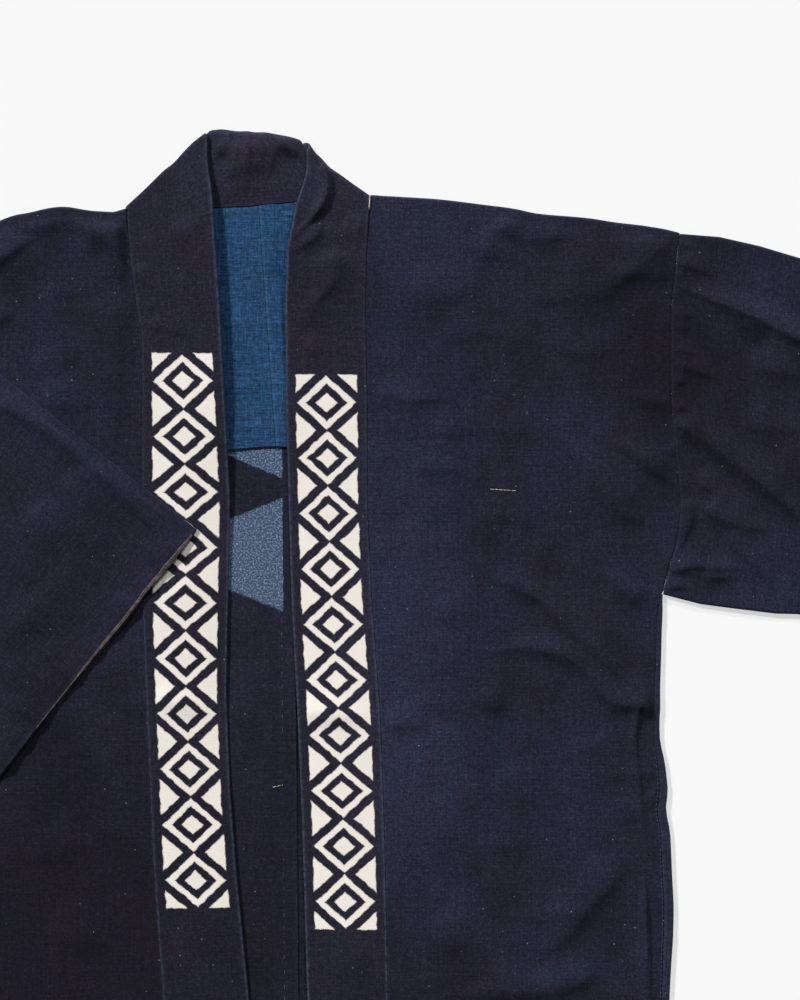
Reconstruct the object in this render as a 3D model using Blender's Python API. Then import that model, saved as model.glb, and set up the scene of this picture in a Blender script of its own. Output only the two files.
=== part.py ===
"""A happi coat of indigo cotton, laid on its back on a flat surface, one sleeve folded over its front.

X runs to the wearer's left, Y up to the neck, Z up from the surface that the coat lies on.
Sizes are in metres. The tables are drawn from the middle of the back neck. At the end every
piece is moved alike, so that the origin is on the surface, in the middle of the coat's box.

Each piece is a sheet drawn at the middle of its cloth and given its wall by a Solidify modifier.
"""

import math
from collections import namedtuple

import bpy
from mathutils import Vector

# ---------------------------------------------------------------- driving dimensions
CLOTH = 0.0012              # wall of one layer of body cloth
LINING_CLOTH = 0.0010       # wall of the shoulder lining
COLLAR_CLOTH = 0.0022       # wall of the collar, which is a band folded double
SEAM_GAP = 0.0003           # between two pieces that are sewn together
NECK_TRIM = 0.0025          # the collar's fold stops short of the neck point by this
HEM_Y = -0.820              # body length below the back neck
FRONT_HEM_RISE = 0.004      # the fronts and the collar end this much above the back's hem
ARMHOLE_SHARE = 0.333       # share of the body's length, at its side, that the sleeve takes
BACK_SEAM_X = 0.0137        # centre-back seam at the neck
BACK_SEAM_SLANT = -0.0075   # and its drift to the wearer's left for each metre down
LINING_SEAM_SLANT = -0.054  # the lining's own centre seam slants more
LINING_HEM_Y = -0.186
LINING_MARGIN = 0.014       # it stops this far inside the armhole
SLEEVE_LENGTH = 0.333       # armhole seam to cuff, along the shoulder
CUFF_DEPTH = 0.245
ARMHOLE_GAP_LEFT = 1.5 * SEAM_GAP
ARMHOLE_GAP_RIGHT = 3 * SEAM_GAP
ARMHOLE_FADE = 0.4          # share of the spread sleeve over which its armhole's curve dies out

# ---------------------------------------------------------------- heights of the layers
BACK_Z = CLOTH / 2
LINING_Z = CLOTH + SEAM_GAP + LINING_CLOTH / 2
FRONT_Z = 0.0042            # middle of the front cloth where it has no fold
NECK_Z = COLLAR_CLOTH / 2   # back of the collar, on the surface
COLLAR_Z = 0.0046           # collar beside the front's edge
NECK_FOLD_Z = 0.0050        # collar just past its fold at the shoulder
SHOULDER_INSET = CLOTH / 2 + (FRONT_Z - BACK_Z) / 2     # the shoulder's round bend stands out by this
FRONT_HEM_Y = HEM_Y + FRONT_HEM_RISE

# ---------------------------------------------------------------- mesh density
FRONT_COLUMNS = 13
NECK_COLUMNS = 4
ARMHOLE_ROWS = 13
ROWS = 34
ROW_GRADING = 1.3           # rows stand closer at the shoulder
BEND_STEPS = 4
COLLAR_COLUMNS = 5
LINING_COLUMNS = 4
LINING_ROWS = 5
SLEEVE_STATIONS = 15
FOLDED_STATIONS = 11        # past the fold
FOLD_STEPS = 6              # round the fold

# ---------------------------------------------------------------- outlines
Width = namedtuple("Width", "y half wrap")
# Centre-back seam to the armhole or the side, and how far the side seam lies in from that edge.
HALF_WIDTHS = [
    Width(-0.025, 0.2954, 0.0),
    Width(-0.039, 0.2931, 0.0),
    Width(-0.080, 0.2884, 0.0),
    Width(-0.152, 0.2879, 0.0),
    Width(-0.190, 0.2912, 0.0),
    Width(-0.222, 0.2945, 0.0),
    Width(-0.249, 0.2922, 0.0),
    Width(-0.270, 0.2860, 0.0),
    Width(-0.291, 0.2801, 0.004),
    Width(-0.330, 0.2790, 0.004),
    Width(-0.385, 0.2763, 0.004),
    Width(-0.415, 0.2807, 0.0055),
    Width(-0.438, 0.2826, 0.0065),
    Width(-0.452, 0.2813, 0.0065),
    Width(-0.468, 0.2840, 0.0072),
    Width(-0.540, 0.2855, 0.0074),
    Width(-0.592, 0.2831, 0.0060),
    Width(-0.820, 0.2831, 0.0060),
]

Shoulder = namedtuple("Shoulder", "x y")
# The fold over the shoulder, from the neck to the armhole, on each side.
SHOULDER_LEFT = [
    Shoulder(0.0799, 0.0030),
    Shoulder(0.1265, 0.0007),
    Shoulder(0.1687, -0.0037),
    Shoulder(0.2057, -0.0098),
    Shoulder(0.2649, -0.0163),
    Shoulder(0.3010, -0.0212),
    Shoulder(0.3093, -0.0245),
]
SHOULDER_RIGHT = [
    Shoulder(-0.1069, -0.0089),
    Shoulder(-0.1273, -0.0074),
    Shoulder(-0.1495, -0.0053),
    Shoulder(-0.1717, -0.0096),
    Shoulder(-0.1939, -0.0155),
    Shoulder(-0.2400, -0.0262),
    Shoulder(-0.2815, -0.0375),
]

Band = namedtuple("Band", "y seam free")
# The collar down each front: the edge sewn to the front, and the free edge.
BAND_LEFT = [
    Band(0.045, 0.0799, 0.0330),
    Band(0.026, 0.0799, 0.0340),
    Band(0.007, 0.0799, 0.0296),
    Band(-0.004, 0.0796, 0.0252),
    Band(-0.019, 0.0784, 0.0229),
    Band(-0.033, 0.0774, 0.0192),
    Band(-0.074, 0.0762, 0.0178),
    Band(-0.148, 0.0777, 0.0182),
    Band(-0.222, 0.0777, 0.0201),
    Band(-0.296, 0.0812, 0.0222),
    Band(-0.380, 0.0874, 0.0266),
    Band(-0.459, 0.0903, 0.0300),
    Band(-0.592, 0.0932, 0.0340),
    Band(-0.820, 0.0984, 0.0400),
]
BAND_RIGHT = [
    Band(0.050, -0.1069, -0.0422),
    Band(0.000, -0.1069, -0.0363),
    Band(-0.009, -0.1066, -0.0358),
    Band(-0.025, -0.0990, -0.0348),
    Band(-0.050, -0.0962, -0.0330),
    Band(-0.081, -0.0918, -0.0308),
    Band(-0.102, -0.0880, -0.0299),
    Band(-0.163, -0.0881, -0.0266),
    Band(-0.222, -0.0880, -0.0237),
    Band(-0.300, -0.0877, -0.0252),
    Band(-0.363, -0.0853, -0.0266),
    Band(-0.437, -0.0820, -0.0237),
    Band(-0.496, -0.0794, -0.0192),
    Band(-0.592, -0.0725, -0.0096),
    Band(-0.820, -0.0644, 0.0000),
]

Neck = namedtuple("Neck", "seam_x seam_y free_x free_y wrinkle")
# The back of the collar, from the fold at the wearer's right shoulder to the one at the left.
NECK_SECTIONS = [
    Neck(-0.1010, -0.0083, -0.0398, 0.0472, 0.0),
    Neck(-0.0850, -0.0075, -0.0375, 0.0498, 0.0),
    Neck(-0.0620, -0.0066, -0.0320, 0.0511, 0.0002),
    Neck(-0.0370, -0.0059, -0.0230, 0.0510, 0.0008),
    Neck(-0.0120, -0.0050, -0.0090, 0.0507, 0.0003),
    Neck(0.0100, -0.0030, 0.0070, 0.0486, 0.0010),
    Neck(0.0300, -0.0010, 0.0180, 0.0460, 0.0002),
    Neck(0.0550, 0.0010, 0.0245, 0.0432, 0.0004),
    Neck(0.0765, 0.0028, 0.0285, 0.0405, 0.0),
]

Shear = namedtuple("Shear", "fold_x fold_y over lift")
# Where the free edge folds at each shoulder, how far down the front the weave takes to come
# level again, and how high the free edge then stands over the back.
SHEAR_LEFT = Shear(0.0335, 0.0375, 0.055, 0.0012)
SHEAR_RIGHT = Shear(-0.0402, 0.0473, 0.050, 0.0026)

Fold = namedtuple("Fold", "x1 y1 x2 y2 width height")
# The larger folds of the fronts and of the spread sleeve, as ridges from point to point.
FOLDS = [
    Fold(0.305, -0.024, 0.170, -0.066, 0.016, 0.0040),
    Fold(0.303, -0.060, 0.470, -0.112, 0.015, 0.0050),
    Fold(0.300, -0.155, 0.480, -0.255, 0.020, 0.0034),
    Fold(0.200, -0.150, 0.300, -0.250, 0.022, 0.0030),
    Fold(0.170, -0.300, 0.285, -0.365, 0.018, 0.0028),
    Fold(0.290, -0.470, 0.190, -0.560, 0.020, 0.0038),
    Fold(0.120, -0.640, 0.240, -0.760, 0.026, 0.0030),
    Fold(0.520, -0.150, 0.610, -0.300, 0.022, 0.0036),
    Fold(0.300, -0.276, 0.380, -0.270, 0.010, 0.0024),
    Fold(-0.215, -0.045, -0.135, -0.010, 0.014, 0.0018),
    Fold(-0.240, -0.440, -0.140, -0.560, 0.024, 0.0030),
    Fold(-0.225, -0.700, -0.110, -0.640, 0.026, 0.0030),
]

SleeveEdge = namedtuple("SleeveEdge", "x y")
# The spread sleeve, from the armhole to the cuff: the fold on its shoulder, and its seam below.
SLEEVE_TOP = [
    SleeveEdge(0.3096, -0.0252),
    SleeveEdge(0.3389, -0.0281),
    SleeveEdge(0.3685, -0.0348),
    SleeveEdge(0.3974, -0.0429),
    SleeveEdge(0.4900, -0.0650),
    SleeveEdge(0.6350, -0.0930),
]
SLEEVE_BOTTOM = [
    SleeveEdge(0.2964, -0.2916),
    SleeveEdge(0.3241, -0.2982),
    SleeveEdge(0.3478, -0.3012),
    SleeveEdge(0.3952, -0.3056),
    SleeveEdge(0.4650, -0.3150),
    SleeveEdge(0.5930, -0.3345),
]

# ---------------------------------------------------------------- the folded sleeve
FOLDED_TIP = Vector((-0.0481, -0.2435))     # its cuff's corner, at the shoulder edge
FOLDED_AXIS = Vector((0.785, -0.619)).normalized()
FOLD_LINE = Vector((-0.248, -0.969)).normalized()
FOLD_FROM_SEAM = 0.006      # armhole seam to the fold line, on the shoulder
FOLD_RADIUS = 0.0036
ARMHOLE_DEPTH = 0.262
ARMHOLE_SLANT = 0.029       # how much shorter the sleeve is below than on the shoulder
FLAT_HALF = 0.0011          # half of the space between the folded sleeve's two layers
CUFF_GAPE = 0.0028          # how far its upper layer lifts off the lower at the cuff
GAPE_REACH = 0.075
SETTLE_REACH = 0.060        # distance over which it comes down from its fold
ON_FRONT_Z = 0.0076         # middle of the folded sleeve on the front
ON_COLLAR_Z = 0.0096        # and where it lies on the collar
FLATTEN_FROM = 0.6          # share of the way to the fold's end where the tube starts to flatten
FLATTEN_REACH = 0.040
COLLAR_REACH = 0.035        # distance over which it climbs onto the collar

INDIGO = (0.016, 0.018, 0.030, 1.0)
PALE_INDIGO = (0.030, 0.090, 0.180, 1.0)


# ---------------------------------------------------------------- small helpers
def smooth(t):
    t = min(1.0, max(0.0, t))
    return t * t * (3 - 2 * t)


def mix(a, b, t):
    return a + (b - a) * t


def read(rows, key, column, at):
    """The table's column at a value of its key, straight between two rows."""
    points = sorted((getattr(row, key), getattr(row, column)) for row in rows)
    if at <= points[0][0]:
        return points[0][1]
    for (low, first), (high, second) in zip(points, points[1:]):
        if at <= high:
            return mix(first, second, (at - low) / (high - low))
    return points[-1][1]


def walk(rows, share):
    """The point at a share of the way along a table of x and y, measured on its length."""
    points = [Vector((row.x, row.y)) for row in rows]
    lengths = [(b - a).length for a, b in zip(points, points[1:])]
    left = share * sum(lengths)
    for a, b, length in zip(points, points[1:], lengths):
        if left <= length:
            return a.lerp(b, left / length)
        left -= length
    return points[-1]


def fold_rise(x, y):
    """How far the folds lift the upper cloth at a point."""
    rise = 0.0
    for fold in FOLDS:
        start = Vector((fold.x1, fold.y1))
        run = Vector((fold.x2, fold.y2)) - start
        here = Vector((x, y)) - start
        share = here.dot(run) / run.length_squared
        if 0.0 < share < 1.0:
            off = (here - run * share).length / fold.width
            ends = smooth(share / 0.25) * smooth((1 - share) / 0.35)
            rise += fold.height * ends * math.exp(-off * off)
    return rise


def front_height(x, y):
    return FRONT_Z + fold_rise(x, y)


def back_seam_x(y):
    return BACK_SEAM_X + BACK_SEAM_SLANT * y


def neckline_y(x):
    return read(NECK_SECTIONS, "seam_x", "seam_y", x)


def armhole_share(row):
    """How far down the armhole a row is. The sleeve's cells follow the body's rows."""
    return (row / ARMHOLE_ROWS) ** ROW_GRADING


def row_share(row):
    """How far down the body a row is: one falls on the armpit."""
    if row <= ARMHOLE_ROWS:
        return ARMHOLE_SHARE * armhole_share(row)
    return mix(ARMHOLE_SHARE, 1.0, (row - ARMHOLE_ROWS) / (ROWS - ARMHOLE_ROWS))


def half_turn(start, finish, outward, share):
    """A point on the round bend from one layer to the other, standing out by half their distance."""
    angle = math.pi * share
    radius = (finish - start).length / 2
    level = start.lerp(finish, (1 - math.cos(angle)) / 2)
    return level + outward * (radius * math.sin(angle))


# ---------------------------------------------------------------- body halves
class Side:
    """One half of the body, with the values that differ from left to right."""

    def __init__(self, name, sign, shoulder, band, shear):
        self.name = name
        self.sign = sign
        self.shoulder = shoulder
        self.band = band
        self.shear = shear
        self.neck_y = shoulder[0].y
        self.armhole_y = shoulder[-1].y

    def seam_x(self, y):
        return read(self.band, "y", "seam", y)

    def free_x(self, y):
        return read(self.band, "y", "free", y)

    def edge_x(self, y, inset=0.0):
        return back_seam_x(y) + self.sign * (read(HALF_WIDTHS, "y", "half", y) - inset)

    def shoulder_y(self, x):
        return read(self.shoulder, "x", "y", x)


LEFT = Side("left", 1, SHOULDER_LEFT, BAND_LEFT, SHEAR_LEFT)
RIGHT = Side("right", -1, SHOULDER_RIGHT, BAND_RIGHT, SHEAR_RIGHT)


def row_ends(side, row, hem=HEM_Y):
    """How high up a row of the body meets the collar, and how high it meets the side."""
    share = row_share(row)
    return (
        mix(side.neck_y - SHOULDER_INSET, hem, share),
        mix(side.armhole_y - SHOULDER_INSET, hem, share),
    )


def panel_point(side, row, across, inset, hem):
    """A point of the front or back in plan: across runs from the collar seam to the side edge."""
    seam_y, edge_y = row_ends(side, row, hem)
    start = side.seam_x(seam_y) + side.sign * SEAM_GAP
    x = mix(start, side.edge_x(edge_y, inset), across)
    level = mix(seam_y, edge_y, across)
    top_ends = row_ends(side, 0)
    bow = side.shoulder_y(x) - SHOULDER_INSET - mix(top_ends[0], top_ends[1], across)
    return Vector((x, level + bow * (1 - row_share(row)) ** 5))


def neck_point(side, row, across):
    """A point of the back between the centre seam, at 0, and the line under the collar seam, at 1."""
    seam_y, _ = row_ends(side, row)
    outer = side.seam_x(seam_y) + side.sign * SEAM_GAP
    inner = back_seam_x(seam_y) + side.sign * SEAM_GAP / 2
    x = mix(inner, outer, across)
    rise = neckline_y(x) - SEAM_GAP - row_ends(side, 0)[0]
    return Vector((x, seam_y + rise * (1 - row_share(row)) ** 12))


def side_curl(side, row):
    """The back's side edge, turned up and in to the side seam: points after its last flat one."""
    _, edge_y = row_ends(side, row)
    wrap = read(HALF_WIDTHS, "y", "wrap", edge_y)
    start_x = side.edge_x(edge_y, SHOULDER_INSET)
    seam_x = side.edge_x(edge_y, wrap - SEAM_GAP / 2)
    top_z = front_height(seam_x, edge_y)
    low = Vector((start_x, edge_y, BACK_Z))
    high = Vector((start_x, edge_y, top_z))
    outward = Vector((side.sign, 0, 0))
    points = [half_turn(low, high, outward, step / BEND_STEPS) for step in range(1, BEND_STEPS + 1)]
    return points + [Vector((seam_x, edge_y, top_z))]


def body_half(side):
    """Front and back of one half, a single length of cloth folded at the shoulder."""
    sheet = Sheet("body_" + side.name)
    first = NECK_COLUMNS
    last = NECK_COLUMNS + FRONT_COLUMNS
    for row in range(ROWS + 1):
        _, edge_y = row_ends(side, row)
        below = row >= ARMHOLE_ROWS
        wrap = read(HALF_WIDTHS, "y", "wrap", edge_y) if below else 0.0
        for column in range(first):
            flat = neck_point(side, row, column / first)
            sheet.put(column, -row, flat.to_3d() + Vector((0, 0, BACK_Z)))
        for column in range(first, last + 1):
            across = (column - first) / FRONT_COLUMNS
            inset = SHOULDER_INSET if below else SEAM_GAP / 2
            flat = panel_point(side, row, across, inset, HEM_Y)
            sheet.put(column, -row, flat.to_3d() + Vector((0, 0, BACK_Z)))
            flat = panel_point(side, row, across, wrap + SEAM_GAP / 2, FRONT_HEM_Y)
            height = front_height(flat.x, flat.y)
            sheet.put(column, row + BEND_STEPS, flat.to_3d() + Vector((0, 0, height)))
        if below:
            for step, point in enumerate(side_curl(side, row), 1):
                sheet.put(last + step, -row, point)
    for column in range(first, last + 1):
        low = sheet.points[column, 0]
        high = sheet.points[column, BEND_STEPS]
        for step in range(1, BEND_STEPS):
            bend = half_turn(low, high, Vector((0, 1, 0)), step / BEND_STEPS)
            sheet.put(column, step, bend)
    return sheet.solid(CLOTH, INDIGO)


# ---------------------------------------------------------------- sheets
class Sheet:
    """Points on a grid of columns and rows. A cell is filled where all four corners are there."""

    def __init__(self, name):
        self.name = name
        self.points = {}

    def put(self, column, row, point):
        self.points[column, row] = Vector(point)

    def solid(self, thickness, colour, around=0):
        """A closed wall round the sheet. With around set, the last column joins the first."""
        index = {key: number for number, key in enumerate(self.points)}
        faces = []
        for column, row in self.points:
            beside = (column + 1) % around if around else column + 1
            corners = [(column, row), (beside, row), (beside, row + 1), (column, row + 1)]
            if all(corner in index for corner in corners):
                faces.append([index[corner] for corner in corners])
        mesh = bpy.data.meshes.new(self.name)
        mesh.from_pydata([tuple(p) for p in self.points.values()], [], faces)
        mesh.update()
        mesh.shade_smooth()
        piece = bpy.data.objects.new(self.name, mesh)
        bpy.context.scene.collection.objects.link(piece)
        wall = piece.modifiers.new("Wall", "SOLIDIFY")
        wall.thickness = thickness
        wall.offset = 0.0
        piece.data.materials.append(cotton(self.name + "_cotton", colour))
        return piece


def cotton(name, colour):
    material = bpy.data.materials.new(name)
    material.use_nodes = True
    shader = material.node_tree.nodes["Principled BSDF"]
    shader.inputs["Base Color"].default_value = colour
    shader.inputs["Roughness"].default_value = 0.9
    shader.inputs["Metallic"].default_value = 0.0
    return material


# ---------------------------------------------------------------- shoulder lining
def lining_half(side):
    """The pale lining of one shoulder, on the inside of the back, as far as its hem."""
    sheet = Sheet("lining_" + side.name)
    for column in range(2 * LINING_COLUMNS + 1):
        for row in range(LINING_ROWS + 1):
            down = row / LINING_ROWS
            rough_y = LINING_HEM_Y * down
            inner = LINING_SEAM_SLANT * rough_y + side.sign * SEAM_GAP / 2
            neck = side.shoulder[0].x - side.sign * LINING_MARGIN
            outer = side.edge_x(min(rough_y, side.armhole_y), LINING_MARGIN)
            if column < LINING_COLUMNS:
                x = mix(inner, neck, column / LINING_COLUMNS)
                top = neckline_y(x) - 2 * SEAM_GAP
            else:
                x = mix(neck, outer, column / LINING_COLUMNS - 1)
                top = side.shoulder_y(x) - 2 * SHOULDER_INSET
            sheet.put(column, row, (x, mix(top, LINING_HEM_Y, down), LINING_Z))
    return sheet.solid(LINING_CLOTH, PALE_INDIGO)


# ---------------------------------------------------------------- collar
def front_sections(side):
    """Sections of the collar down one front, from the shoulder, each a seam and a free point."""
    sections = []
    top_y = row_ends(side, 0)[0]
    for row in range(ROWS + 1):
        seam_y, _ = row_ends(side, row, FRONT_HEM_Y)
        past = min(1.0, (top_y - seam_y) / side.shear.over)
        free_y = seam_y + (side.shear.fold_y - top_y) * (1 - past) ** 2
        free_x = side.free_x(free_y) if row else side.shear.fold_x
        settled = smooth(past)
        seam_z = mix(NECK_FOLD_Z, COLLAR_Z, settled)
        seam = Vector((side.seam_x(seam_y), seam_y, seam_z))
        free = Vector((free_x, free_y, seam_z + side.shear.lift * settled))
        spare = NECK_TRIM * (1 - past) ** 4
        sections.append((seam.lerp(free, spare / (free - seam).length), free))
    return sections


def neck_sections():
    return [
        (Vector((row.seam_x, row.seam_y, NECK_Z)), Vector((row.free_x, row.free_y, NECK_Z)))
        for row in NECK_SECTIONS
    ]


def shoulder_bend(lower, upper, outward):
    """Sections round the collar's fold at one shoulder, between its lower and upper layers."""
    sections = []
    for step in range(1, BEND_STEPS):
        share = step / BEND_STEPS
        sections.append(tuple(half_turn(low, high, outward, share) for low, high in zip(lower, upper)))
    return sections


def square_to(section, sign):
    """The level direction that points out of the coat, square to a slanting section."""
    run = (section[1] - section[0]).to_2d().normalized()
    return Vector((run.y * sign, -run.x * sign, 0))


def collar():
    """One band: up the right front, folded at the shoulder, round the neck and down the left."""
    right = front_sections(RIGHT)
    left = front_sections(LEFT)
    neck = neck_sections()
    right_bend = shoulder_bend(neck[0], right[0], square_to(right[0], -1))
    left_bend = shoulder_bend(neck[-1], left[0], square_to(left[0], 1))
    sections = right[::-1] + right_bend[::-1] + neck + left_bend + left
    first_neck = len(right) + len(right_bend)
    sheet = Sheet("collar")
    for number, (seam, free) in enumerate(sections):
        in_neck = 0 <= number - first_neck < len(neck)
        wrinkle = NECK_SECTIONS[number - first_neck].wrinkle if in_neck else 0.0
        for column in range(COLLAR_COLUMNS + 1):
            share = column / COLLAR_COLUMNS
            point = seam.lerp(free, share)
            point.z = mix(seam.z, free.z, share * share)
            point.z += wrinkle * math.sin(math.pi * share)
            sheet.put(column, number, point)
    return sheet.solid(COLLAR_CLOTH, INDIGO)


# ---------------------------------------------------------------- sleeves
def ring(depth, half):
    """A flattened tube in section, as pairs: the distance from its shoulder edge, and the height
    off its middle as a share of half the space between its layers.

    It runs along the lower layer, round the underarm edge, back on the upper layer and round
    the shoulder edge."""
    flat = [mix(half, depth - half, armhole_share(row)) for row in range(ARMHOLE_ROWS + 1)]
    turns = [math.pi * step / BEND_STEPS for step in range(1, BEND_STEPS)]
    lower = [(down, -1.0) for down in flat]
    underarm = [(depth - half + half * math.sin(turn), -math.cos(turn)) for turn in turns]
    upper = [(down, 1.0) for down in reversed(flat)]
    shoulder = [(half - half * math.sin(turn), math.cos(turn)) for turn in turns]
    return lower + underarm + upper + shoulder


def spread_sleeve():
    """The wearer's left sleeve: a tube lying flat, its lower layer on the surface."""
    sheet = Sheet("sleeve_left")
    for station in range(SLEEVE_STATIONS + 1):
        share = station / SLEEVE_STATIONS
        top = walk(SLEEVE_TOP, share)
        bottom = walk(SLEEVE_BOTTOM, share)
        depth = (bottom - top).length - CLOTH
        half = (FRONT_Z - BACK_Z) / 2
        for number, (down, level) in enumerate(ring(depth, half)):
            place = (down + CLOTH / 2) / (depth + CLOTH)
            flat = top.lerp(bottom, place)
            flat.x += armhole_bulge(flat, share)
            upper = front_height(flat.x, flat.y)
            height = mix(BACK_Z, upper, (level + 1) / 2)
            sheet.put(number, station, (flat.x, flat.y, height))
    return sheet.solid(CLOTH, INDIGO, around=2 * (ARMHOLE_ROWS + BEND_STEPS))


def armhole_x(side, y, gap):
    """The sleeve's edge at the armhole, outside the straight stretches of the body's edge."""
    heights = [row_ends(side, row)[1] for row in range(ARMHOLE_ROWS + 1)]
    y = min(heights[0], max(heights[-1], y))
    for above, below in zip(heights, heights[1:]):
        if y >= below:
            share = (y - above) / (below - above)
            return mix(side.edge_x(above), side.edge_x(below), share) + side.sign * gap
    return side.edge_x(heights[-1], -gap)


def armhole_bulge(flat, share):
    """How far the armhole seam stands from a straight line, fading out along the sleeve."""
    start, finish = SLEEVE_TOP[0], SLEEVE_BOTTOM[0]
    straight = mix(start.x, finish.x, (flat.y - start.y) / (finish.y - start.y))
    return (armhole_x(LEFT, flat.y, ARMHOLE_GAP_LEFT) - straight) * (1 - smooth(share / ARMHOLE_FADE))


def folded_sleeve():
    """The wearer's right sleeve: a flat tube turned over on a slanting line, onto the front."""
    out = Vector((FOLD_LINE.y, -FOLD_LINE.x))
    turned = FOLD_LINE * FOLDED_AXIS.dot(FOLD_LINE) * 2 - FOLDED_AXIS
    fold_start = (
        FOLDED_TIP - FOLDED_AXIS * (SLEEVE_LENGTH - FOLD_FROM_SEAM) - out * math.pi * FOLD_RADIUS
    )
    seam_top = fold_start - turned * FOLD_FROM_SEAM
    down = Vector((-turned.y, turned.x))
    lean = FOLD_LINE.dot(turned) / FOLD_LINE.dot(down)
    to_fold = out.dot(turned)
    wide_half = (FRONT_Z - BACK_Z) / 2
    bend_run = math.pi * FOLD_RADIUS / to_fold

    # Each station is where its line leaves the shoulder edge, and how much further along the
    # sleeve that line has come by the underarm edge.
    slant = lean * ARMHOLE_DEPTH
    stations = [(0.0, ARMHOLE_SLANT), (FOLD_FROM_SEAM / 2, mix(ARMHOLE_SLANT, slant, 0.5))]
    for step in range(FOLD_STEPS + 1):
        stations.append((FOLD_FROM_SEAM + bend_run * step / FOLD_STEPS, slant))
    past = stations[-1][0]
    for step in range(1, FOLDED_STATIONS + 1):
        share = step / FOLDED_STATIONS
        stations.append((mix(past, SLEEVE_LENGTH, share), mix(slant, 0.0, share ** 0.8)))

    sheet = Sheet("sleeve_right")
    for station, (start, lag) in enumerate(stations):
        along_share = start / SLEEVE_LENGTH
        depth = mix(ARMHOLE_DEPTH, CUFF_DEPTH, along_share) - CLOTH
        flattened = smooth((start - past * FLATTEN_FROM) / FLATTEN_REACH)
        half_here = mix(wide_half, FLAT_HALF, flattened)
        for number, (fall, level) in enumerate(ring(depth, half_here)):
            across = fall / depth
            s = start + lag * across
            flat = seam_top + turned * s + down * (fall + CLOTH / 2)
            if station < 2:
                flat.x = mix(armhole_x(RIGHT, flat.y, ARMHOLE_GAP_RIGHT), flat.x, station / 2)
            beyond = (s - FOLD_FROM_SEAM - lean * (fall + CLOTH / 2)) * to_fold
            sheet.put(number, station, turn_over(flat, beyond, level, half_here, out, s, across))
    return sheet.solid(CLOTH, INDIGO, around=2 * (ARMHOLE_ROWS + BEND_STEPS))


def turn_over(flat, beyond, level, half, out, s, across):
    """A point of the flat tube carried round the fold by its distance beyond the fold line."""
    middle = BACK_Z + (FRONT_Z - BACK_Z) / 2
    lift = level * half
    if beyond <= 0:
        return (flat.x, flat.y, middle + lift)
    foot = flat - out * beyond
    bend = math.pi * FOLD_RADIUS
    if beyond < bend:
        angle = beyond / FOLD_RADIUS
        spot = foot + out * (FOLD_RADIUS - lift) * math.sin(angle)
        height = middle + FOLD_RADIUS - (FOLD_RADIUS - lift) * math.cos(angle)
        return (spot.x, spot.y, height)
    spot = foot - out * (beyond - bend)
    on_collar = smooth((spot.x - RIGHT.seam_x(spot.y)) / COLLAR_REACH + 1)
    rest = mix(ON_FRONT_Z, ON_COLLAR_Z, on_collar)
    settle = smooth((beyond - bend) / SETTLE_REACH)
    height = mix(middle + 2 * FOLD_RADIUS, rest, settle)
    gape = CUFF_GAPE * smooth(1 - (SLEEVE_LENGTH - s) / GAPE_REACH) * math.sin(math.pi * across)
    return (spot.x, spot.y, height - lift + (gape if level < 0 else 0.0))


# ---------------------------------------------------------------- assembly
def clear_scene():
    for thing in list(bpy.data.objects):
        bpy.data.objects.remove(thing, do_unlink=True)


def centre_on_surface(pieces):
    """Moves all pieces alike, so that the origin is on the surface in the middle of their box."""
    bpy.context.view_layer.update()
    graph = bpy.context.evaluated_depsgraph_get()
    corners = [Vector(c) for piece in pieces for c in piece.evaluated_get(graph).bound_box]
    low = [min(c[axis] for c in corners) for axis in range(3)]
    high = [max(c[axis] for c in corners) for axis in range(3)]
    shift = Vector(((low[0] + high[0]) / 2, (low[1] + high[1]) / 2, low[2]))
    for piece in pieces:
        piece.location = -shift


def main():
    clear_scene()
    pieces = [
        body_half(LEFT),
        body_half(RIGHT),
        lining_half(LEFT),
        lining_half(RIGHT),
        collar(),
        spread_sleeve(),
        folded_sleeve(),
    ]
    centre_on_surface(pieces)


main()
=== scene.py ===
import math
from collections import namedtuple
from functools import partial

import bmesh
import bpy
import numpy as np
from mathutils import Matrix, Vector


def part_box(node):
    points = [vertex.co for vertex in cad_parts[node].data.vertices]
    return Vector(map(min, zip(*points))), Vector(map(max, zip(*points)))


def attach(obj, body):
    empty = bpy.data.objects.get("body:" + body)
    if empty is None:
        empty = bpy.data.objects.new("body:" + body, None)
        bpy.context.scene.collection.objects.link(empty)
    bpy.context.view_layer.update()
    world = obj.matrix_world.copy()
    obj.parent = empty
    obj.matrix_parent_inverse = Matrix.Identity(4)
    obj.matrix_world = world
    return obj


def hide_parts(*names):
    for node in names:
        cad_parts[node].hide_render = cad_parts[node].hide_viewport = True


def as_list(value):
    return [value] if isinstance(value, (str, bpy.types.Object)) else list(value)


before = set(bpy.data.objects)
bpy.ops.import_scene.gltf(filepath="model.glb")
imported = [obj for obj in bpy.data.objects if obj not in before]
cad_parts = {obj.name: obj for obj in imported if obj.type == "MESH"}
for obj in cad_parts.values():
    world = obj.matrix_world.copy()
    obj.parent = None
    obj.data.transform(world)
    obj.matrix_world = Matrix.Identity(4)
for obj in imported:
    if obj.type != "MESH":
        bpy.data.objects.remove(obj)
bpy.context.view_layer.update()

# A happi coat of indigo cotton, laid on its back, one sleeve folded over its front.
# Sizes are in metres, drawn from the middle of the back neck: X to the wearer's left, Y up to the
# neck, Z up from the surface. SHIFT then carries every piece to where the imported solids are.

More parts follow.
